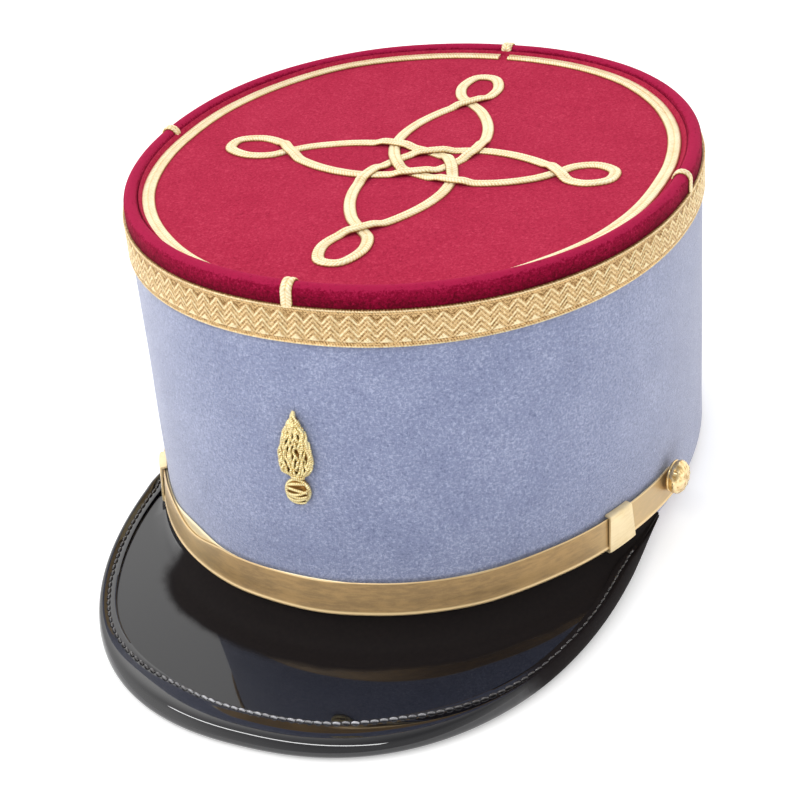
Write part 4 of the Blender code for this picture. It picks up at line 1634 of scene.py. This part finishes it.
def button(name, angle, node):
    foot = wall_point(angle, BUTTON_LEVEL, OUTER_LAYER + STRAP_LAYER + CLEARANCE)
    around = wall_point(angle + 1, BUTTON_LEVEL) - wall_point(angle - 1, BUTTON_LEVEL)
    upward = wall_point(angle, BUTTON_LEVEL + MM) - wall_point(angle, BUTTON_LEVEL - MM)
    axis = around.cross(upward).normalized()
    turned = axis.to_track_quat("Z", "Y")
    rows = []
    rise = []
    sides = 72
    for radius, height in BUTTON_TABLE:
        row = []
        for side in range(sides):
            turn = math.tau * side / sides
            point = Vector((math.cos(turn) * radius, math.sin(turn) * radius, height))
            dimple = noise.cell(point * 4.6) * 0.45 + noise.noise(point * 6.0)
            relief = 0.20 * dimple if height > 0.3 else 0.0
            scaled = Vector((point.x * BUTTON_RADIUS, point.y * BUTTON_RADIUS, height * BUTTON_HEIGHT))
            row.append(foot + turned @ (scaled + scaled.normalized() * relief * MM))
            rise.append(min(max(0.5 + relief * 2.6, 0.0), 1.0))
        rows.append(row)
    piece = skin(name, rows, around=True, capped=True, marks={"rise": rise})
    return dress(piece, GILT_BRASS, [node])


button("button_left_gilt", -BUTTON_ANGLE, "button_left")
button("button_right_gilt", BUTTON_ANGLE - 180.0, "button_right")

# %% [markdown]
# ## Floor and light
#
# The cap stands on a plain white sheet in a bright room. The walls of the room
# are bright, and its ceiling and the side the camera stands on are darker. That
# gradient does most of the work: the nap glows towards both sides of the cap, and
# the visor stays black in front, because it mirrors the dark wall of the cap. At
# the wearer's right it mirrors the far side of the room, which is brighter again.
# One long soft panel above the front adds the sparks on gold and edge.
# The sheet of paper lies on a light table, so it stays white to the cap's foot.


# %% Floor
def floor():
    size = 3.0
    mesh = bpy.data.meshes.new("floor")
    corners = [(-size, -size, 0.0), (size, -size, 0.0), (size, size, 0.0), (-size, size, 0.0)]
    mesh.from_pydata(corners, [], [(0, 1, 2, 3)])
    sheet = put_in("floor", mesh)
    paper = Finish("white_paper", (0.92, 0.92, 0.92), 0.9, specular_ior_level=0.1)
    paper.set("Emission Color", rgba((1.0, 1.0, 1.0)))
    paper.set("Emission Strength", 0.36)
    sheet.data.materials.append(paper.material)
    sheet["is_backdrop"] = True
    return sheet


floor()


# %% World and soft panel
WALL_LIGHT = 1.30
CEILING_LOSS = 0.62
CAMERA_SIDE_LOSS = 0.55
FAR_SIDE_GAIN = 0.28
CAMERA_SIDE = (0.38, -0.75, 0.54)


def world(camera_side):
    room = bpy.data.worlds.new("bright_room")
    room.use_nodes = True
    background = room.node_tree.nodes["Background"]
    background.inputs["Color"].default_value = (1.0, 0.995, 0.985, 1.0)
    way = Wire(room.node_tree).node("TexCoord", output="Generated")
    height = way.node("SeparateXYZ", inputs={0: way}, output=2)
    facing = way.along(camera_side)
    light = WALL_LIGHT - height.within(0.58, 0.96) * CEILING_LOSS
    light = light * (1.0 - facing.within(0.25, 0.95) * CAMERA_SIDE_LOSS)
    far_side = (-camera_side[0], -camera_side[1], camera_side[2])
    light = light * (1.0 + way.along(far_side).within(0.70, 0.95) * FAR_SIDE_GAIN)
    room.node_tree.links.new(light.socket, background.inputs["Strength"])
    bpy.context.scene.world = room


def panel(name, place_at, aim, width, depth, power):
    light = bpy.data.lights.new(name, "AREA")
    light.shape = "RECTANGLE"
    light.size = width
    light.size_y = depth
    light.energy = power
    lamp = put_in(name, light)
    lamp.location = place_at
    lamp.rotation_euler = (Vector(aim) - Vector(place_at)).to_track_quat("-Z", "Y").to_euler()
    return lamp


world(CAMERA_SIDE)
panel("front_panel", (-0.25, -0.50, 1.05), (0.0, -0.05, 0.0), 1.40, 0.09, 5.0)

# %% [markdown]
# ## Camera
#
# The camera was found by fitting the cap's own outlines to the photograph. It
# looks down from the front and the wearer's left, and it is rolled by seven
# degrees, because the photograph is.

# %% Camera at the photograph's angle
CAMERA_FOCAL = 1819.501
IMAGE_SIDE = 794
CAMERA_AZIMUTH = 26.778
CAMERA_ELEVATION = 32.943
CAMERA_DISTANCE = 587.692 * MM
CAMERA_ROLL = -7.207
CAMERA_AIM = Vector((-14.624 * MM, MIDDLE_Y, 16.73 * MM))


def camera():
    azimuth = math.radians(CAMERA_AZIMUTH)
    elevation = math.radians(CAMERA_ELEVATION)
    roll = math.radians(CAMERA_ROLL)
    back = Vector((
        math.sin(azimuth) * math.cos(elevation),
        -math.cos(azimuth) * math.cos(elevation),
        math.sin(elevation),
    ))
    right = (-back).cross(UP).normalized()
    above = right.cross(-back)
    rolled_right = right * math.cos(roll) + above * math.sin(roll)
    rolled_above = above * math.cos(roll) - right * math.sin(roll)
    view = bpy.data.cameras.new("photograph")
    view.sensor_width = 36.0
    view.lens = CAMERA_FOCAL * 36.0 / IMAGE_SIDE
    view.clip_start = 0.01
    view.clip_end = 20.0
    eye = put_in("photograph", view)
    axes = Matrix((rolled_right, rolled_above, back)).transposed()
    eye.matrix_world = Matrix.Translation(CAMERA_AIM + back * CAMERA_DISTANCE) @ axes.to_4x4()
    bpy.context.scene.camera = eye
    return eye


camera()
bpy.context.scene.view_settings.view_transform = "Standard"

# %% Sizes and the end
visual_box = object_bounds()
for name, (low, high) in (("cad", cad_box), ("visual", visual_box)):
    print(name, [round((b - a) / MM, 1) for a, b in zip(low, high)], "mm")
